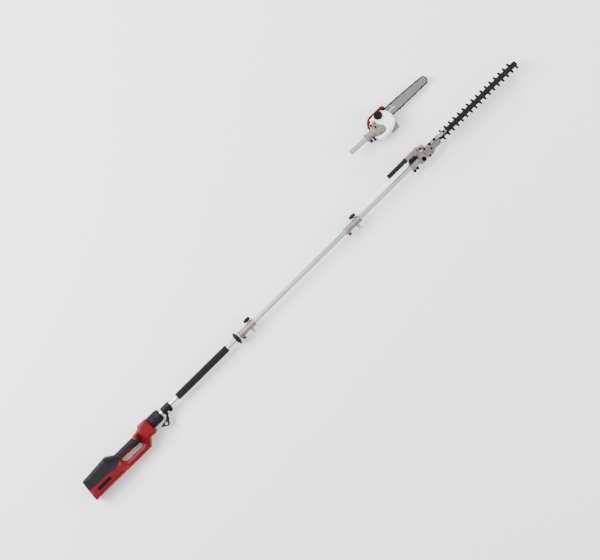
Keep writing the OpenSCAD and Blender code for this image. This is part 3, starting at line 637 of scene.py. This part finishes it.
def remade(node, body, voxel_mm, soften):
    """A rounded copy of a CAD node, as a casting or a moulding comes from its die."""
    source = frame["nodes"][node]
    mesh = source.data.copy()
    mesh.materials.clear()
    piece = bpy.data.objects.new(node + "_cast", mesh)
    bpy.context.scene.collection.objects.link(piece)
    weld = piece.modifiers.new("weld", "WELD")
    weld.merge_threshold = 2e-5
    remesh = piece.modifiers.new("remesh", "REMESH")
    remesh.mode = "VOXEL"
    remesh.voxel_size = voxel_mm * MM
    smooth = piece.modifiers.new("smooth", "SMOOTH")
    smooth.factor = 0.5
    smooth.iterations = soften
    apply_modifiers(piece)
    for polygon in piece.data.polygons:
        polygon.use_smooth = True
    slot = SLOT_OF[node]
    piece.data.materials.clear()
    piece.data.materials.append(material_of(slot))
    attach(piece, body)
    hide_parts(node)
    return piece


# ---------- power unit ----------
UNIT_OUTLINE = [
    (0, -60), (8, 22), (14, 25.5), (136, 34.5), (142, 33.5), (174, 12.5), (279, 12.5),
    (285, 13.5), (311, 20.5), (322, 31), (360, 31), (367, 27), (367, -38), (362, -43),
    (332, -43), (306, -70.5), (26, -70.5), (18, -67.5), (8, -70.5), (1, -69.5),
]
BLACK_ZONE = [
    (-5, -21), (110, -24), (132, -29), (154, -29), (188, -13), (232, -12), (266, -25),
    (292, -25), (310, -7), (305, -5), (277, -5), (273, 1), (275, 60), (-5, 60),
]
HAND_OPENING = [
    (180, -22), (196, -41), (280, -42), (287, -36), (285, -28), (280, -26), (226, -23), (194, -22),
]
HALF_BAY, HALF_LOOP = 38.0, 18.0
LOOP_ROUND, END_ROUND = 13.5, 4.5
# corners of what sits in the shells, with clearance
BATTERY_BAY = ((-1, -55.4, -29.4), (128.4, 14.4, 29.4))
LABEL_SEAT = ((37, -50, 36.5), (107, -35, 39))
TRIGGER_SLOT = ((243, -31, -8), (294, -9, 8))
LOCK_OFF_SLOT = ((278, 7.5, -7), (309, 32.5, 7))
NOSE_BORE = 23.1
SHELL_SCREWS = ((18, -64), (154, -62), (256, -60), (335, -34))
SCREW_BORE, HEAD_POCKET = 2.5, 3.6


def unit_shape(x, y):
    """Half thickness of the power unit and how far its rounding reaches, along its length."""
    low = ramp(-y, 12, 34)
    back = ramp(x, 133 + 26 * low, 176 + 16 * low)
    front = ramp(x + 0.25 * y, 284, 312)
    slim = back - front
    height = HALF_BAY - (HALF_BAY - HALF_LOOP) * slim
    ends = np.minimum(ramp(x, 4, 40), ramp(-x, -362, -336))
    body = props().shell_round_mm + (LOOP_ROUND - props().shell_round_mm) * slim
    return height, END_ROUND + (body - END_ROUND) * ends


def build_shells():
    """Red shells and black covers of both sides, from one rounded body split at its seams."""
    outline = eased(UNIT_OUTLINE, 6)
    opening = eased(HAND_OPENING, 6)
    seam = eased(BLACK_ZONE, 4)
    zones = (
        ("red_shell", "red_abs", lambda p: ~inside(p, seam)),
        ("black_cover", "black_pa", lambda p: inside(p, seam)),
    )
    for zone, slot, keep in zones:
        for side, flip in (("upper", 1), ("lower", -1)):
            bm = pillow([outline, opening], unit_shape, 0.0, keep=keep, seam=seam)
            matrix = TOOL @ Matrix.Diagonal((1, 1, flip, 1))
            node = f"{zone}_{side}"
            piece = to_object(node + "_moulded", bm, slot, "power_unit", matrix, [node])
            cutters = [brick(*BATTERY_BAY)]
            if zone == "red_shell":
                cutters.append(turned([(358, NOSE_BORE), (368, NOSE_BORE)], 48))
                for x, y in SHELL_SCREWS:
                    stand = Matrix.Translation((x, y, 0)) @ Matrix.Rotation(-math.pi / 2, 4, "Y")
                    bore = [(-33, SCREW_BORE), (45, SCREW_BORE)]
                    cutters.append(turned(bore, 20, matrix=stand))
                    mouth = 13 if 182 < x < 307 else 33
                    pocket = [(mouth, HEAD_POCKET), (45, HEAD_POCKET)]
                    if side == "upper":
                        cutters.append(turned(pocket, 24, matrix=stand))
            if node == "red_shell_upper":
                cutters.append(brick(*LABEL_SEAT))
            cutters += [brick(*TRIGGER_SLOT), brick(*LOCK_OFF_SLOT)]
            cut(piece, cutters, TOOL)


RIB_GROUPS = ((17, 33), (111, 140))
RIB_WIDTH, RIB_PITCH = 1.3, 2.6
LABEL_MIDDLE = 72


def build_side_ribs():
    """Fine finger ribs moulded beside the label."""
    bm = bmesh.new()
    for x, last in RIB_GROUPS:
        while x <= last:
            low, high = -50 + abs(x - LABEL_MIDDLE) / 16, -35
            end = x + RIB_WIDTH
            outline = eased([(x, low), (end, low), (end, high), (x, high)], 0.5, 2)
            plate(outline, HALF_BAY - 0.8, HALF_BAY + 0.7, bm, 0.35)
            x += RIB_PITCH
    to_object("side_ribs", bm, "red_abs", "power_unit", TOOL)


COLLAR_RIBS, LEVER_FLUTES, KNOB_LOBES = 28, 20, 5
TUBE_FIT, COLLAR_RADIUS = 12.3, 26.5


def build_turned():
    """Front collar, foam grip, hand stop, lever grip and clamp knobs."""

    def ribs(x, a):
        return -0.9 * max(0.0, math.cos(a * COLLAR_RIBS)) if 373 < x < 411 else 0.0

    body = [(359.3, 20), (359.3, 22.8), (367.3, 22.8), *rim(367.3, COLLAR_RADIUS, 1.5, 1)]
    body += [(x, COLLAR_RADIUS) for x in (371, 374, 392, 410, 412)]
    body += [*rim(416, COLLAR_RADIUS, 1.2, -1), (416, 23.5), *rim(422, 23.5, 1.5, -1)]
    body += [(422, TUBE_FIT), (389, TUBE_FIT), (389, 20), (359.3, 20)]
    collar = turned(body, 8 * COLLAR_RIBS, ribs)
    to_object("collar_moulded", collar, "black_pa", "power_unit", TOOL, ["front_collar"])

    low, high = span("foam_grip", TOOL)
    radius = (high.z - low.z) / 2
    wall = [(low.x, 12.1), *rim(low.x, radius, 3.2, 1), *rim(high.x, radius, 3.2, -1)]
    wall += [(high.x, 12.1), (low.x, 12.1)]
    foam = turned(wall, 96)
    piece = to_object("foam_sleeve", foam, "foam", "power_unit", TOOL, ["foam_grip"])

    low, high = span("hand_stop_ring", TOOL)
    hub = [(low.x, TUBE_FIT), *rim(low.x, 17.5, 1.5, 1), (low.x + 3.9, 18), (low.x + 4, 24.6)]
    hub += [*rim(low.x + 4, 27, 2.4, 1)[1:], *rim(high.x - 4, 27, 2.4, -1), (high.x - 4, 18)]
    hub += [*rim(high.x, 17.5, 1.5, -1), (high.x, TUBE_FIT), (low.x, TUBE_FIT)]
    stop = turned(hub, 96)
    to_object("hand_stop_moulded", stop, "black_pa", "power_unit", TOOL, ["hand_stop_ring"])

    low, high = span("lever_grip", HEAD)
    axis = Matrix.Translation((0, (low.y + high.y) / 2, 0))

    def flutes(x, a):
        held = low.x + 8 < x < high.x - 12
        return -0.35 * (0.5 + 0.5 * math.cos(a * LEVER_FLUTES)) if held else 0.0

    grip = [(low.x, 0.5), *rim(low.x, 9.6, 3, 1), (low.x + 7, 9.8), (low.x + 9, 9.6)]
    grip += [(high.x - 13, 9.6), (high.x - 10, 10), (high.x - 8, 10.6), (high.x - 6, 11.5)]
    grip += [*rim(high.x, 11.5, 1.5, -1), (high.x, 5.1), (low.x + 11, 5.1), (low.x + 11, 0.5)]
    grip.append(grip[0])
    lever = turned(grip, 120, flutes)
    lever.transform(axis)
    to_object("lever_grip_moulded", lever, "black_grip", "hedge_head", HEAD, ["lever_grip"])

    for number in (1, 2):
        node = f"coupler_{number}_knob"
        low, high = span(node, TOOL)
        size = props().knob_mm
        height = high.y - low.y
        lift = height - 15
        hub_foot = (height - 1.6, height - 1.8)

        def lobes(x, a):
            lobed = lift < x < height - 1 and x not in hub_foot
            return size * 0.034 * math.cos(KNOB_LOBES * a) if lobed else 0.0

        knob = [(0, 3), (lift - 0.2, 3), (lift, 3.2), *rim(lift + 0.4, size * 0.46, 2, 1)]
        knob += [(height - 6, size * 0.46), *rim(height - 1.2, size * 0.45, 2.6, -1)]
        knob += [(hub_foot[0], 7.5), (hub_foot[1], 5.4), *rim(height, 5, 1, -1)]
        place = upright(((low.x + high.x) / 2, low.y, (low.z + high.z) / 2), (0, 1, 0))
        piece = turned(knob, 90, lobes, matrix=place)
        to_object(f"knob_{number}_moulded", piece, "black_pa", f"knob_{number}", TOOL, [node])


# node, body, size of the cells it is remade from in mm, rounds of smoothing
CASTINGS = (
    ("coupler_1", "power_unit", 0.8, 5),
    ("coupler_2", "middle_section", 0.8, 5),
    ("strap_clamp", "power_unit", 0.7, 4),
    ("head_clamp", "front_section", 0.8, 6),
    ("gear_case", "hedge_head", 0.8, 6),
    ("swing_lever", "hedge_head", 0.7, 6),
    ("saw_gear_case", "saw_head", 0.8, 7),
    ("battery_pack", "battery", 0.8, 5),
    ("trigger", "trigger", 0.5, 4),
    ("lock_off_button", "lock_off", 0.5, 4),
)


def build_castings():
    """Rounded bodies of the couplers, clamps, gear cases, lever, battery and buttons."""
    for casting in CASTINGS:
        remade(*casting)


HOOK_OUTLINE = [
    (438, -18), (421, -32.5), (390, -37.5), (388, -44), (414, -58), (422, -54.5),
    (436, -36), (444, -21),
]
HOOK_EYE, HOOK_EYE_RADIUS = (412, -44.5, 0), 6
HOOK_PIVOT = (441, -20, 0)


def build_hook():
    """Strap hook: a thick plate with a round eye, on its pivot pin."""
    low, high = span("strap_hook", TOOL)
    hook = to_object(
        "strap_hook_plate", plate(eased(HOOK_OUTLINE, 3), -3, 3, None, 0.6),
        "black_pa", "hook", TOOL, ["strap_hook"],
    )
    eye = [(-9, HOOK_EYE_RADIUS), (9, HOOK_EYE_RADIUS)]
    cut(hook, [turned(eye, 40, matrix=upright(HOOK_EYE, UP))], TOOL)
    pin = turned(
        [(low.z, 1.9), (low.z + 0.6, 2.5), (high.z - 0.6, 2.5), (high.z, 1.9)], 32,
        matrix=upright(HOOK_PIVOT, UP),
    )
    to_object("strap_hook_pin", pin, "black_screws", "hook", TOOL)


# ---------- saw head ----------
SAW_OUTLINE = [
    (33, -22), (40, -42), (46, -46), (56, -47.5), (100, -46), (120, -37), (139, -22),
    (143.5, -8), (144.5, 8), (141, 23), (134, 34), (120, 45), (106, 52.5), (98, 53.6), (90, 53.4),
    (78, 48.5), (62, 47), (45, 42), (36, 30),
]
CASE_CORNER = [
    (20, 60), (20, -19), (30, -19), (58, -29), (78, -29), (88, -21), (88, -6), (80, 3), (73, 9),
    (72, 31), (62, 38), (57, 60),
]
COVER_LIP = [(143, 0), (144, 40), (141, 52), (136, 60), (68, 58), (56, 54), (46, 45), (36, 26)]
SHOULDER = [
    (35, -22), (46, -45.5), (58, -47), (100, -45.5), (119, -36), (137, -21), (141, 0),
    (134, 30), (104, 46), (72, 45), (50, 32), (40, 14),
]
SHOULDER_HEIGHT, SHOULDER_ROUND = 13.0, 6.0
CAP_X, CAP_Y = 96.6, 38
CAP_NECK, CAP_RADIUS, CAP_GRIPS = 15.3, 18.6, 30
CAP_WING = [(82, 35.6), (111, 35.6), (113, 38), (111, 40.4), (82, 40.4), (80, 38)]
COVER_ROUND = 7.0
# room for the sprocket and bar, and the mouth that the bar leaves by
COVER_HOLLOW = [(81, -4), (156, -4), (156, 47), (81, 47)]
COVER_MOUTH = [(150, -60), (150, 70), (144.6, 70), (144.6, -60)]
BAR_RIVETS = ((310, 32), (325, 19), (307, 9))
BAR_TOP = -24


def build_saw_housing():
    """White oil tank, red sprocket cover with its ribbed rim, cap and spiked bumper."""
    outline = eased(SAW_OUTLINE, 8)
    corner = eased(CASE_CORNER, 4)
    low, high = span("oil_tank", SAW)

    def tank_shape(x, y):
        gap = edge_distance(np.stack([x, y], axis=1), corner)
        reach = np.minimum(props().tank_round_mm, 3 + gap * 0.6)
        dip = 1.2 * (1 - ramp(np.hypot(x - CAP_X, y - CAP_Y), CAP_RADIUS + 0.2, 22))
        return high.z - low.z - dip, reach

    notched = union_less(outline, corner)
    bm = pillow([notched], tank_shape, low.z, 3.0)
    tank = to_object("oil_tank_moulded", bm, "white_pe", "saw_head", SAW, ["oil_tank"])
    up = upright((CAP_X, CAP_Y, 0), UP)
    cut(tank, [turned([(high.z - 9, CAP_NECK), (high.z + 2, CAP_NECK)], 48, matrix=up)], SAW)

    def shoulder_shape(x, y):
        return np.full_like(x, SHOULDER_HEIGHT), np.full_like(x, SHOULDER_ROUND)

    bm = pillow([eased(hull_of(SHOULDER), 5)], shoulder_shape, low.z, 3.4)
    to_object("tank_shoulder", bm, "white_pe", "saw_head", SAW)

    def grips(x, a):
        return -0.8 * (0.5 + 0.5 * math.cos(CAP_GRIPS * a)) if 29 < x < 36.4 else 0.0

    cap = [(20.2, 0.5), (20.2, 15), (28.4, 15), (28.4, 17.8)]
    cap += [(29.2, CAP_RADIUS), (32, CAP_RADIUS), (34, CAP_RADIUS)]
    cap += [(36, 18.2), (37, 16.4), (37.2, 14), (36.6, 12.5), (36.4, 0.5)]
    bm = turned(cap, 6 * CAP_GRIPS, grips, matrix=up)
    to_object("oil_cap_moulded", bm, "cap_black", "cap", SAW, ["oil_cap"])
    bm = plate(eased(CAP_WING, 1.5, 3), 35.5, 41, None, 0.8)
    to_object("oil_cap_wing", bm, "cap_black", "cap", SAW)

    low, high = span("sprocket_cover", SAW)
    lip = hull_of([*SAW_OUTLINE, *COVER_LIP])

    def cover_shape(x, y):
        return np.full_like(x, high.z - low.z), np.full_like(x, COVER_ROUND)

    bm = pillow([eased(lip, 6)], cover_shape, 0.0, 3.4)
    flip = SAW @ Matrix.Translation((0, 0, high.z)) @ Matrix.Diagonal((1, 1, -1, 1))
    cover = to_object("sprocket_cover_moulded", bm, "red_abs", "saw_head", flip, ["sprocket_cover"])
    painted_hollow_shade = plate(COVER_HOLLOW, low.z + 16, high.z + 1)
    mouth = plate(COVER_MOUTH, low.z, high.z + 1)
    cut(cover, [painted_hollow_shade, mouth], SAW)

    bm = bmesh.new()
    for x in np.arange(66, 136, 4.2):
        rib = eased([(x, 52), (x + 1.9, 52), (x + 1.9, 57.6), (x, 57.4)], 0.6, 2)
        plate(rib, high.z - 0.4, high.z + 1.0, bm, 0.35)
    to_object("cover_ribs", bm, "red_abs", "saw_head", SAW)

    low, high = span("bumper_plate", SAW)
    teeth = [(96, -44), (99, -54.2), (134, -53.5)]
    for i in range(6):
        y = -52.5 + i * 5.2
        teeth += [(134.3 + i * 1.05, y), (138.4 + i * 0.5, y + 2.2), (134.9 + i * 1.05, y + 3.6)]
    teeth += [(138.6, -20.6), (110, -36)]
    bm = plate(teeth, low.z, high.z)
    to_object("bumper_toothed", bm, "bumper_steel", "saw_head", SAW, ["bumper_plate"])

    bm = bmesh.new()
    head = [(BAR_TOP + z, r) for z, r in ((-0.1, 1.9), (0.3, 1.9), (0.6, 1.14), (0.6, 0.2))]
    for x, y in BAR_RIVETS:
        turned(head, 24, None, bm, upright((x, y, 0), UP))
    to_object("bar_rivets", bm, "black_screws", "saw_head", SAW)


def hull_of(points):
    """Convex hull of points, in order."""
    points = [Vector(p) for p in points]
    return [tuple(points[i]) for i in geometry.convex_hull_2d(points)]


def union_less(outline, corner):
    """The outline less a corner that overlaps its rim, as one loop."""
    a, b = resampled(outline, 1.5), resampled(corner, 1.5)
    outside = ~inside(a, corner)
    start = next(i for i in range(len(a)) if outside[i] and not outside[i - 1])
    a = np.roll(a, -start, axis=0)
    outside = np.roll(outside, -start)
    kept = a[outside]
    within = b[inside(b, outline)]
    gaps = np.linalg.norm(within - np.roll(within, 1, axis=0), axis=1)
    within = np.roll(within, -int(np.argmax(gaps)), axis=0)
    if np.linalg.norm(within[0] - kept[-1]) > np.linalg.norm(within[-1] - kept[-1]):
        within = within[::-1]
    return np.concatenate([kept, within])


# outlines of the links: along the chain in pitches, and outward in mm
STRAP = [
    (-0.62, -3.0), (-0.3, -2.4), (0.3, -2.4), (0.62, -3.0), (0.76, 0), (0.62, 2.2),
    (0.3, 1.9), (-0.3, 1.9), (-0.62, 2.2), (-0.76, 0),
]
DRIVE = [(-0.6, -2.8), (0.6, -2.8), (0.66, 0), (0.5, 2.2), (-0.5, 2.2), (-0.66, 0)]
CUTTER = [
    (-0.66, -3.0), (0.66, -3.0), (0.7, 1.0), (0.5, 3.9), (0.34, 2.2), (0.08, 1.6),
    (-0.12, 4.3), (-0.6, 3.6), (-0.74, 0.6),
]
ROOF = [(-0.6, 3.0), (-0.12, 3.7), (-0.12, 4.3), (-0.6, 3.6)]
RIVET = [(-2.4, 1.1), (-2.2, 1.3), (2.2, 1.3), (2.4, 1.1)]
# faces of the side plates, from the middle of the drive links
INNER_FACE, OUTER_FACE, ROOF_REACH = 0.8, 1.8, 2.3
CUTTERS_FROM = 140


def build_chain():
    """Saw chain round the bar: drive links, tie straps, rivets and cutters at a real pitch."""
    low, high = span("saw_chain", SAW)
    level = (low.z + high.z) / 2
    axis_y = (low.y + high.y) / 2
    tip_x = high.x - 5 - 14

    def disc(x, r):
        return [
            (x + r * math.cos(2 * math.pi * i / 72), axis_y + r * math.sin(2 * math.pi * i / 72))
            for i in range(72)
        ]

    corners = [(129, axis_y - 19.3), (129, axis_y + 19.3)]
    path = hull_of([*disc(tip_x, 16.3), *disc(188, 20.3), *disc(106, 18.3), *corners])
    path = resampled(np.array(path), 0.5)
    if signed_area(path) > 0:
        path = path[::-1]
    lengths = np.linalg.norm(np.roll(path, -1, axis=0) - path, axis=1)
    travel = np.concatenate([[0], np.cumsum(lengths)])
    links = 2 * round(travel[-1] / props().chain_pitch_mm / 2)
    pitch = travel[-1] / links
    loop = np.concatenate([path, path[:1]])

    def at(distance):
        s = distance % travel[-1]
        return Vector((np.interp(s, travel, loop[:, 0]), np.interp(s, travel, loop[:, 1])))

    bm = bmesh.new()
    for i in range(links):
        a, b = at(i * pitch), at((i + 1) * pitch)
        centre, along = (a + b) / 2, (b - a).normalized()
        outward = Vector((-along.y, along.x))

        def laid(points):
            return [tuple(centre + along * (px * pitch) + outward * py) for px, py in points]

        if i % 2:
            plate(laid(DRIVE), level - 0.7, level + 0.7, bm, 0.15)
        else:
            cutting = i % 4 == 0 and centre.x > CUTTERS_FROM
            cutter_side = (1 if i % 8 == 0 else -1) if cutting else 0
            for side in (cutter_side or 1, -(cutter_side or 1)):
                faces = sorted((level + side * INNER_FACE, level + side * OUTER_FACE))
                plate(laid(CUTTER if side == cutter_side else STRAP), *faces, bm, 0.15)
            if cutting:
                faces = sorted((level - cutter_side * 0.9, level + cutter_side * ROOF_REACH))
                plate(laid(ROOF), *faces, bm, 0.1)
        turned(RIVET, 14, None, bm, upright((a.x, a.y, level), UP))
    to_object("saw_chain_links", bm, "chain_steel", "saw_head", SAW, ["saw_chain"])


# how far the edges of the CAD pieces that stay are broken, in mm
BROKEN_EDGES = {
    "upper_blade": 0.5, "lower_blade": 0.5, "blade_bracket": 0.9, "battery_latch": 0.8,
    "lock_release": 1.0, "guide_bar": 0.4, "label_plate": 0.4, "case_screws": 0.4,
    "head_clamp_screws": 0.5, "coupler_1_screws": 0.4, "coupler_2_screws": 0.4,
    "pivot_bolt": 0.8, "blade_bolts": 0.5, "saw_screws": 0.5, "strap_clamp_screw": 0.4,
}


def dress_kept():
    """Materials and broken edges for the CAD pieces that stay."""
    for name, node in frame["nodes"].items():
        node.data.materials.clear()
        node.data.materials.append(material_of(SLOT_OF[name]))
        if name in BROKEN_EDGES and not node.hide_render:
            weld = node.modifiers.new("weld", "WELD")
            weld.merge_threshold = 1e-5
            flatten = node.modifiers.new("flatten", "DECIMATE")
            flatten.decimate_type = "DISSOLVE"
            flatten.angle_limit = math.radians(1)
            bevel = node.modifiers.new("bevel", "BEVEL")
            bevel.width = BROKEN_EDGES[name] * MM
            bevel.segments = 2
            bevel.limit_method = "ANGLE"
            bevel.angle_limit = math.radians(32)
            bevel.harden_normals = False


# ---------- stage ----------
FLOOR_HALF = 9
FLOOR_DROP = 0.0008
MIDDLE = Vector((1.125, -0.01, 0))
# name, place from the middle in m, size in m, share of the key's power
LIGHTS = (
    ("key", (-1.9, 2.2, 2.9), 2.4, 1.0),
    ("fill", (3.1, -2.4, 2.6), 2.4, 0.45),
    ("rim", (2.6, 2.6, 1.6), 1.4, 0.3),
)
CAMERA_HEIGHT = 9.038
LENS_MM, FILM_MM = 135, 36
VIEW_TURN = math.radians(-44.5)


def build_stage():
    """Pale floor, soft lights and a camera straight above the tool."""
    scene = bpy.context.scene
    bm = bmesh.new()
    bmesh.ops.create_grid(bm, x_segments=1, y_segments=1, size=FLOOR_HALF)
    mesh = bpy.data.meshes.new("floor")
    bm.to_mesh(mesh)
    bm.free()
    floor = bpy.data.objects.new("floor", mesh)
    floor.location = (1.1, 0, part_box("red_shell_lower")[0].z - FLOOR_DROP)
    scene.collection.objects.link(floor)
    mesh.materials.append(
        surface("pale_floor", Roughness=0.9, Base_Color=(*props().floor_colour, 1))[0]
    )

    world = bpy.data.worlds.new("studio")
    world.use_nodes = True
    tree = world.node_tree
    direction = add(tree, "ShaderNodeTexCoord").outputs["Generated"]
    up = add(tree, "ShaderNodeSeparateXYZ", {0: direction}).outputs["Z"]
    background = tree.nodes["Background"]
    vary(tree, background.inputs["Color"], up, "#2e2f31", "#ffffff", -0.1, 0.8)
    background.inputs["Strength"].default_value = props().sky
    scene.world = world

    for name, place, size, share in LIGHTS:
        data = bpy.data.lights.new(name, "AREA")
        data.size = size
        data.energy = props().key_watts * share
        lamp = bpy.data.objects.new(name, data)
        lamp.location = MIDDLE + Vector(place)
        lamp.rotation_euler = (-Vector(place)).to_track_quat("-Z", "Y").to_euler()
        lamp.visible_camera = False
        scene.collection.objects.link(lamp)

    data = bpy.data.cameras.new("camera")
    data.lens = LENS_MM
    data.sensor_width = FILM_MM
    camera = bpy.data.objects.new("camera", data)
    camera.location = MIDDLE + Vector((0, 0, CAMERA_HEIGHT))
    camera.rotation_euler = (0, 0, VIEW_TURN)
    scene.collection.objects.link(camera)
    scene.camera = camera


# ---------- add-on ----------
def colour(name, hex_default, description):
    """A colour property with an sRGB hex default."""
    return FloatVectorProperty(
        name=name, description=description, subtype="COLOR", size=3, min=0, max=1,
        default=linear(hex_default)[:3],
    )


class PoleToolProps(bpy.types.PropertyGroup):
    """Sizes and colours of the finished pieces."""

    shell_round_mm: FloatProperty(
        name="Shell rounding",
        description="How far in the rounding of the bay and head reaches, in mm",
        default=15.0, min=5, max=24,
    )
    tank_round_mm: FloatProperty(
        name="Tank rounding", description="How far in the rounding of the oil tank reaches, in mm",
        default=12.0, min=3, max=20,
    )
    knob_mm: FloatProperty(
        name="Knob", description="Diameter over the lobes of a clamp knob, in mm",
        default=33.0, min=26, max=34,
    )
    chain_pitch_mm: FloatProperty(
        name="Chain pitch", description="Distance from rivet to rivet of the saw chain, in mm",
        default=8.4, min=6, max=12,
    )
    key_watts: FloatProperty(
        name="Key light", description="Power of the main light", default=385.0, min=0, unit="POWER"
    )
    sky: FloatProperty(
        name="Sky", description="Strength of the light from all round", default=1.13, min=0
    )
    red: colour("Red shells", "#5f0107", "Colour of the red ABS shells and cover")
    black: colour("Black covers", "#0a0a0c", "Colour of the black nylon covers, collar and knobs")
    casting: colour("Castings", "#978c86", "Colour of the die-cast couplers and cases")
    tank: colour("Oil tank", "#f6f6f4", "Colour of the oil tank")
    floor_colour: colour("Floor", "#fbfbfb", "Colour of the floor")


def props():
    """The sizes and colours set in the sidebar."""
    return bpy.context.scene.pole_tool


class POLETOOL_OT_stage(bpy.types.Operator):
    """Floor, lights and camera"""

    bl_idname = "poletool.stage"
    bl_label = "Stage"

    def execute(self, context):
        build_stage()
        return {"FINISHED"}


class POLETOOL_OT_shells(bpy.types.Operator):
    """Red shells and black covers of the power unit"""

    bl_idname = "poletool.shells"
    bl_label = "Shells"

    def execute(self, context):
        build_shells()
        return {"FINISHED"}


class POLETOOL_OT_ribs(bpy.types.Operator):
    """Finger ribs beside the label"""

    bl_idname = "poletool.ribs"
    bl_label = "Side ribs"

    def execute(self, context):
        build_side_ribs()
        return {"FINISHED"}


class POLETOOL_OT_turned(bpy.types.Operator):
    """Pieces with a round section"""

    bl_idname = "poletool.turned"
    bl_label = "Grips, rings and knobs"

    def execute(self, context):
        build_turned()
        return {"FINISHED"}


class POLETOOL_OT_hook(bpy.types.Operator):
    """Strap hook and its pin"""

    bl_idname = "poletool.hook"
    bl_label = "Strap hook"

    def execute(self, context):
        build_hook()
        return {"FINISHED"}


class POLETOOL_OT_castings(bpy.types.Operator):
    """Couplers, clamps, gear cases, lever, battery and buttons"""

    bl_idname = "poletool.castings"
    bl_label = "Castings and mouldings"

    def execute(self, context):
        build_castings()
        return {"FINISHED"}


class POLETOOL_OT_saw(bpy.types.Operator):
    """Oil tank, sprocket cover, oil cap and bumper"""

    bl_idname = "poletool.saw"
    bl_label = "Saw housing"

    def execute(self, context):
        build_saw_housing()
        return {"FINISHED"}


class POLETOOL_OT_chain(bpy.types.Operator):
    """Links, rivets and cutters of the saw chain"""

    bl_idname = "poletool.chain"
    bl_label = "Saw chain"

    def execute(self, context):
        build_chain()
        return {"FINISHED"}


class POLETOOL_OT_kept(bpy.types.Operator):
    """Materials and broken edges of the CAD pieces that stay"""

    bl_idname = "poletool.kept"
    bl_label = "Kept pieces"

    def execute(self, context):
        dress_kept()
        return {"FINISHED"}


OPERATORS = [
    POLETOOL_OT_stage, POLETOOL_OT_shells, POLETOOL_OT_ribs, POLETOOL_OT_turned, POLETOOL_OT_hook,
    POLETOOL_OT_castings, POLETOOL_OT_saw, POLETOOL_OT_chain, POLETOOL_OT_kept,
]


class POLETOOL_PT_panel(bpy.types.Panel):
    """Lists what the add-on builds."""

    bl_label = "Pole tool"
    bl_idname = "POLETOOL_PT_panel"
    bl_space_type = "VIEW_3D"
    bl_region_type = "UI"
    bl_category = "Pole tool"

    def draw(self, context):
        for name in PoleToolProps.__annotations__:
            self.layout.prop(props(), name)
        for item in OPERATORS:
            self.layout.operator(item.bl_idname)


CLASSES = [PoleToolProps, *OPERATORS, POLETOOL_PT_panel]


def register():
    """Makes the properties, operators and panel known."""
    for item in CLASSES:
        bpy.utils.register_class(item)
    bpy.types.Scene.pole_tool = PointerProperty(type=PoleToolProps)


def unregister():
    """Takes them away again."""
    del bpy.types.Scene.pole_tool
    for item in reversed(CLASSES):
        bpy.utils.unregister_class(item)


def main():
    """Builds every piece."""
    register()
    for item in OPERATORS:
        getattr(bpy.ops.poletool, item.bl_idname.split(".")[1])()


if __name__ == "__main__":
    main()
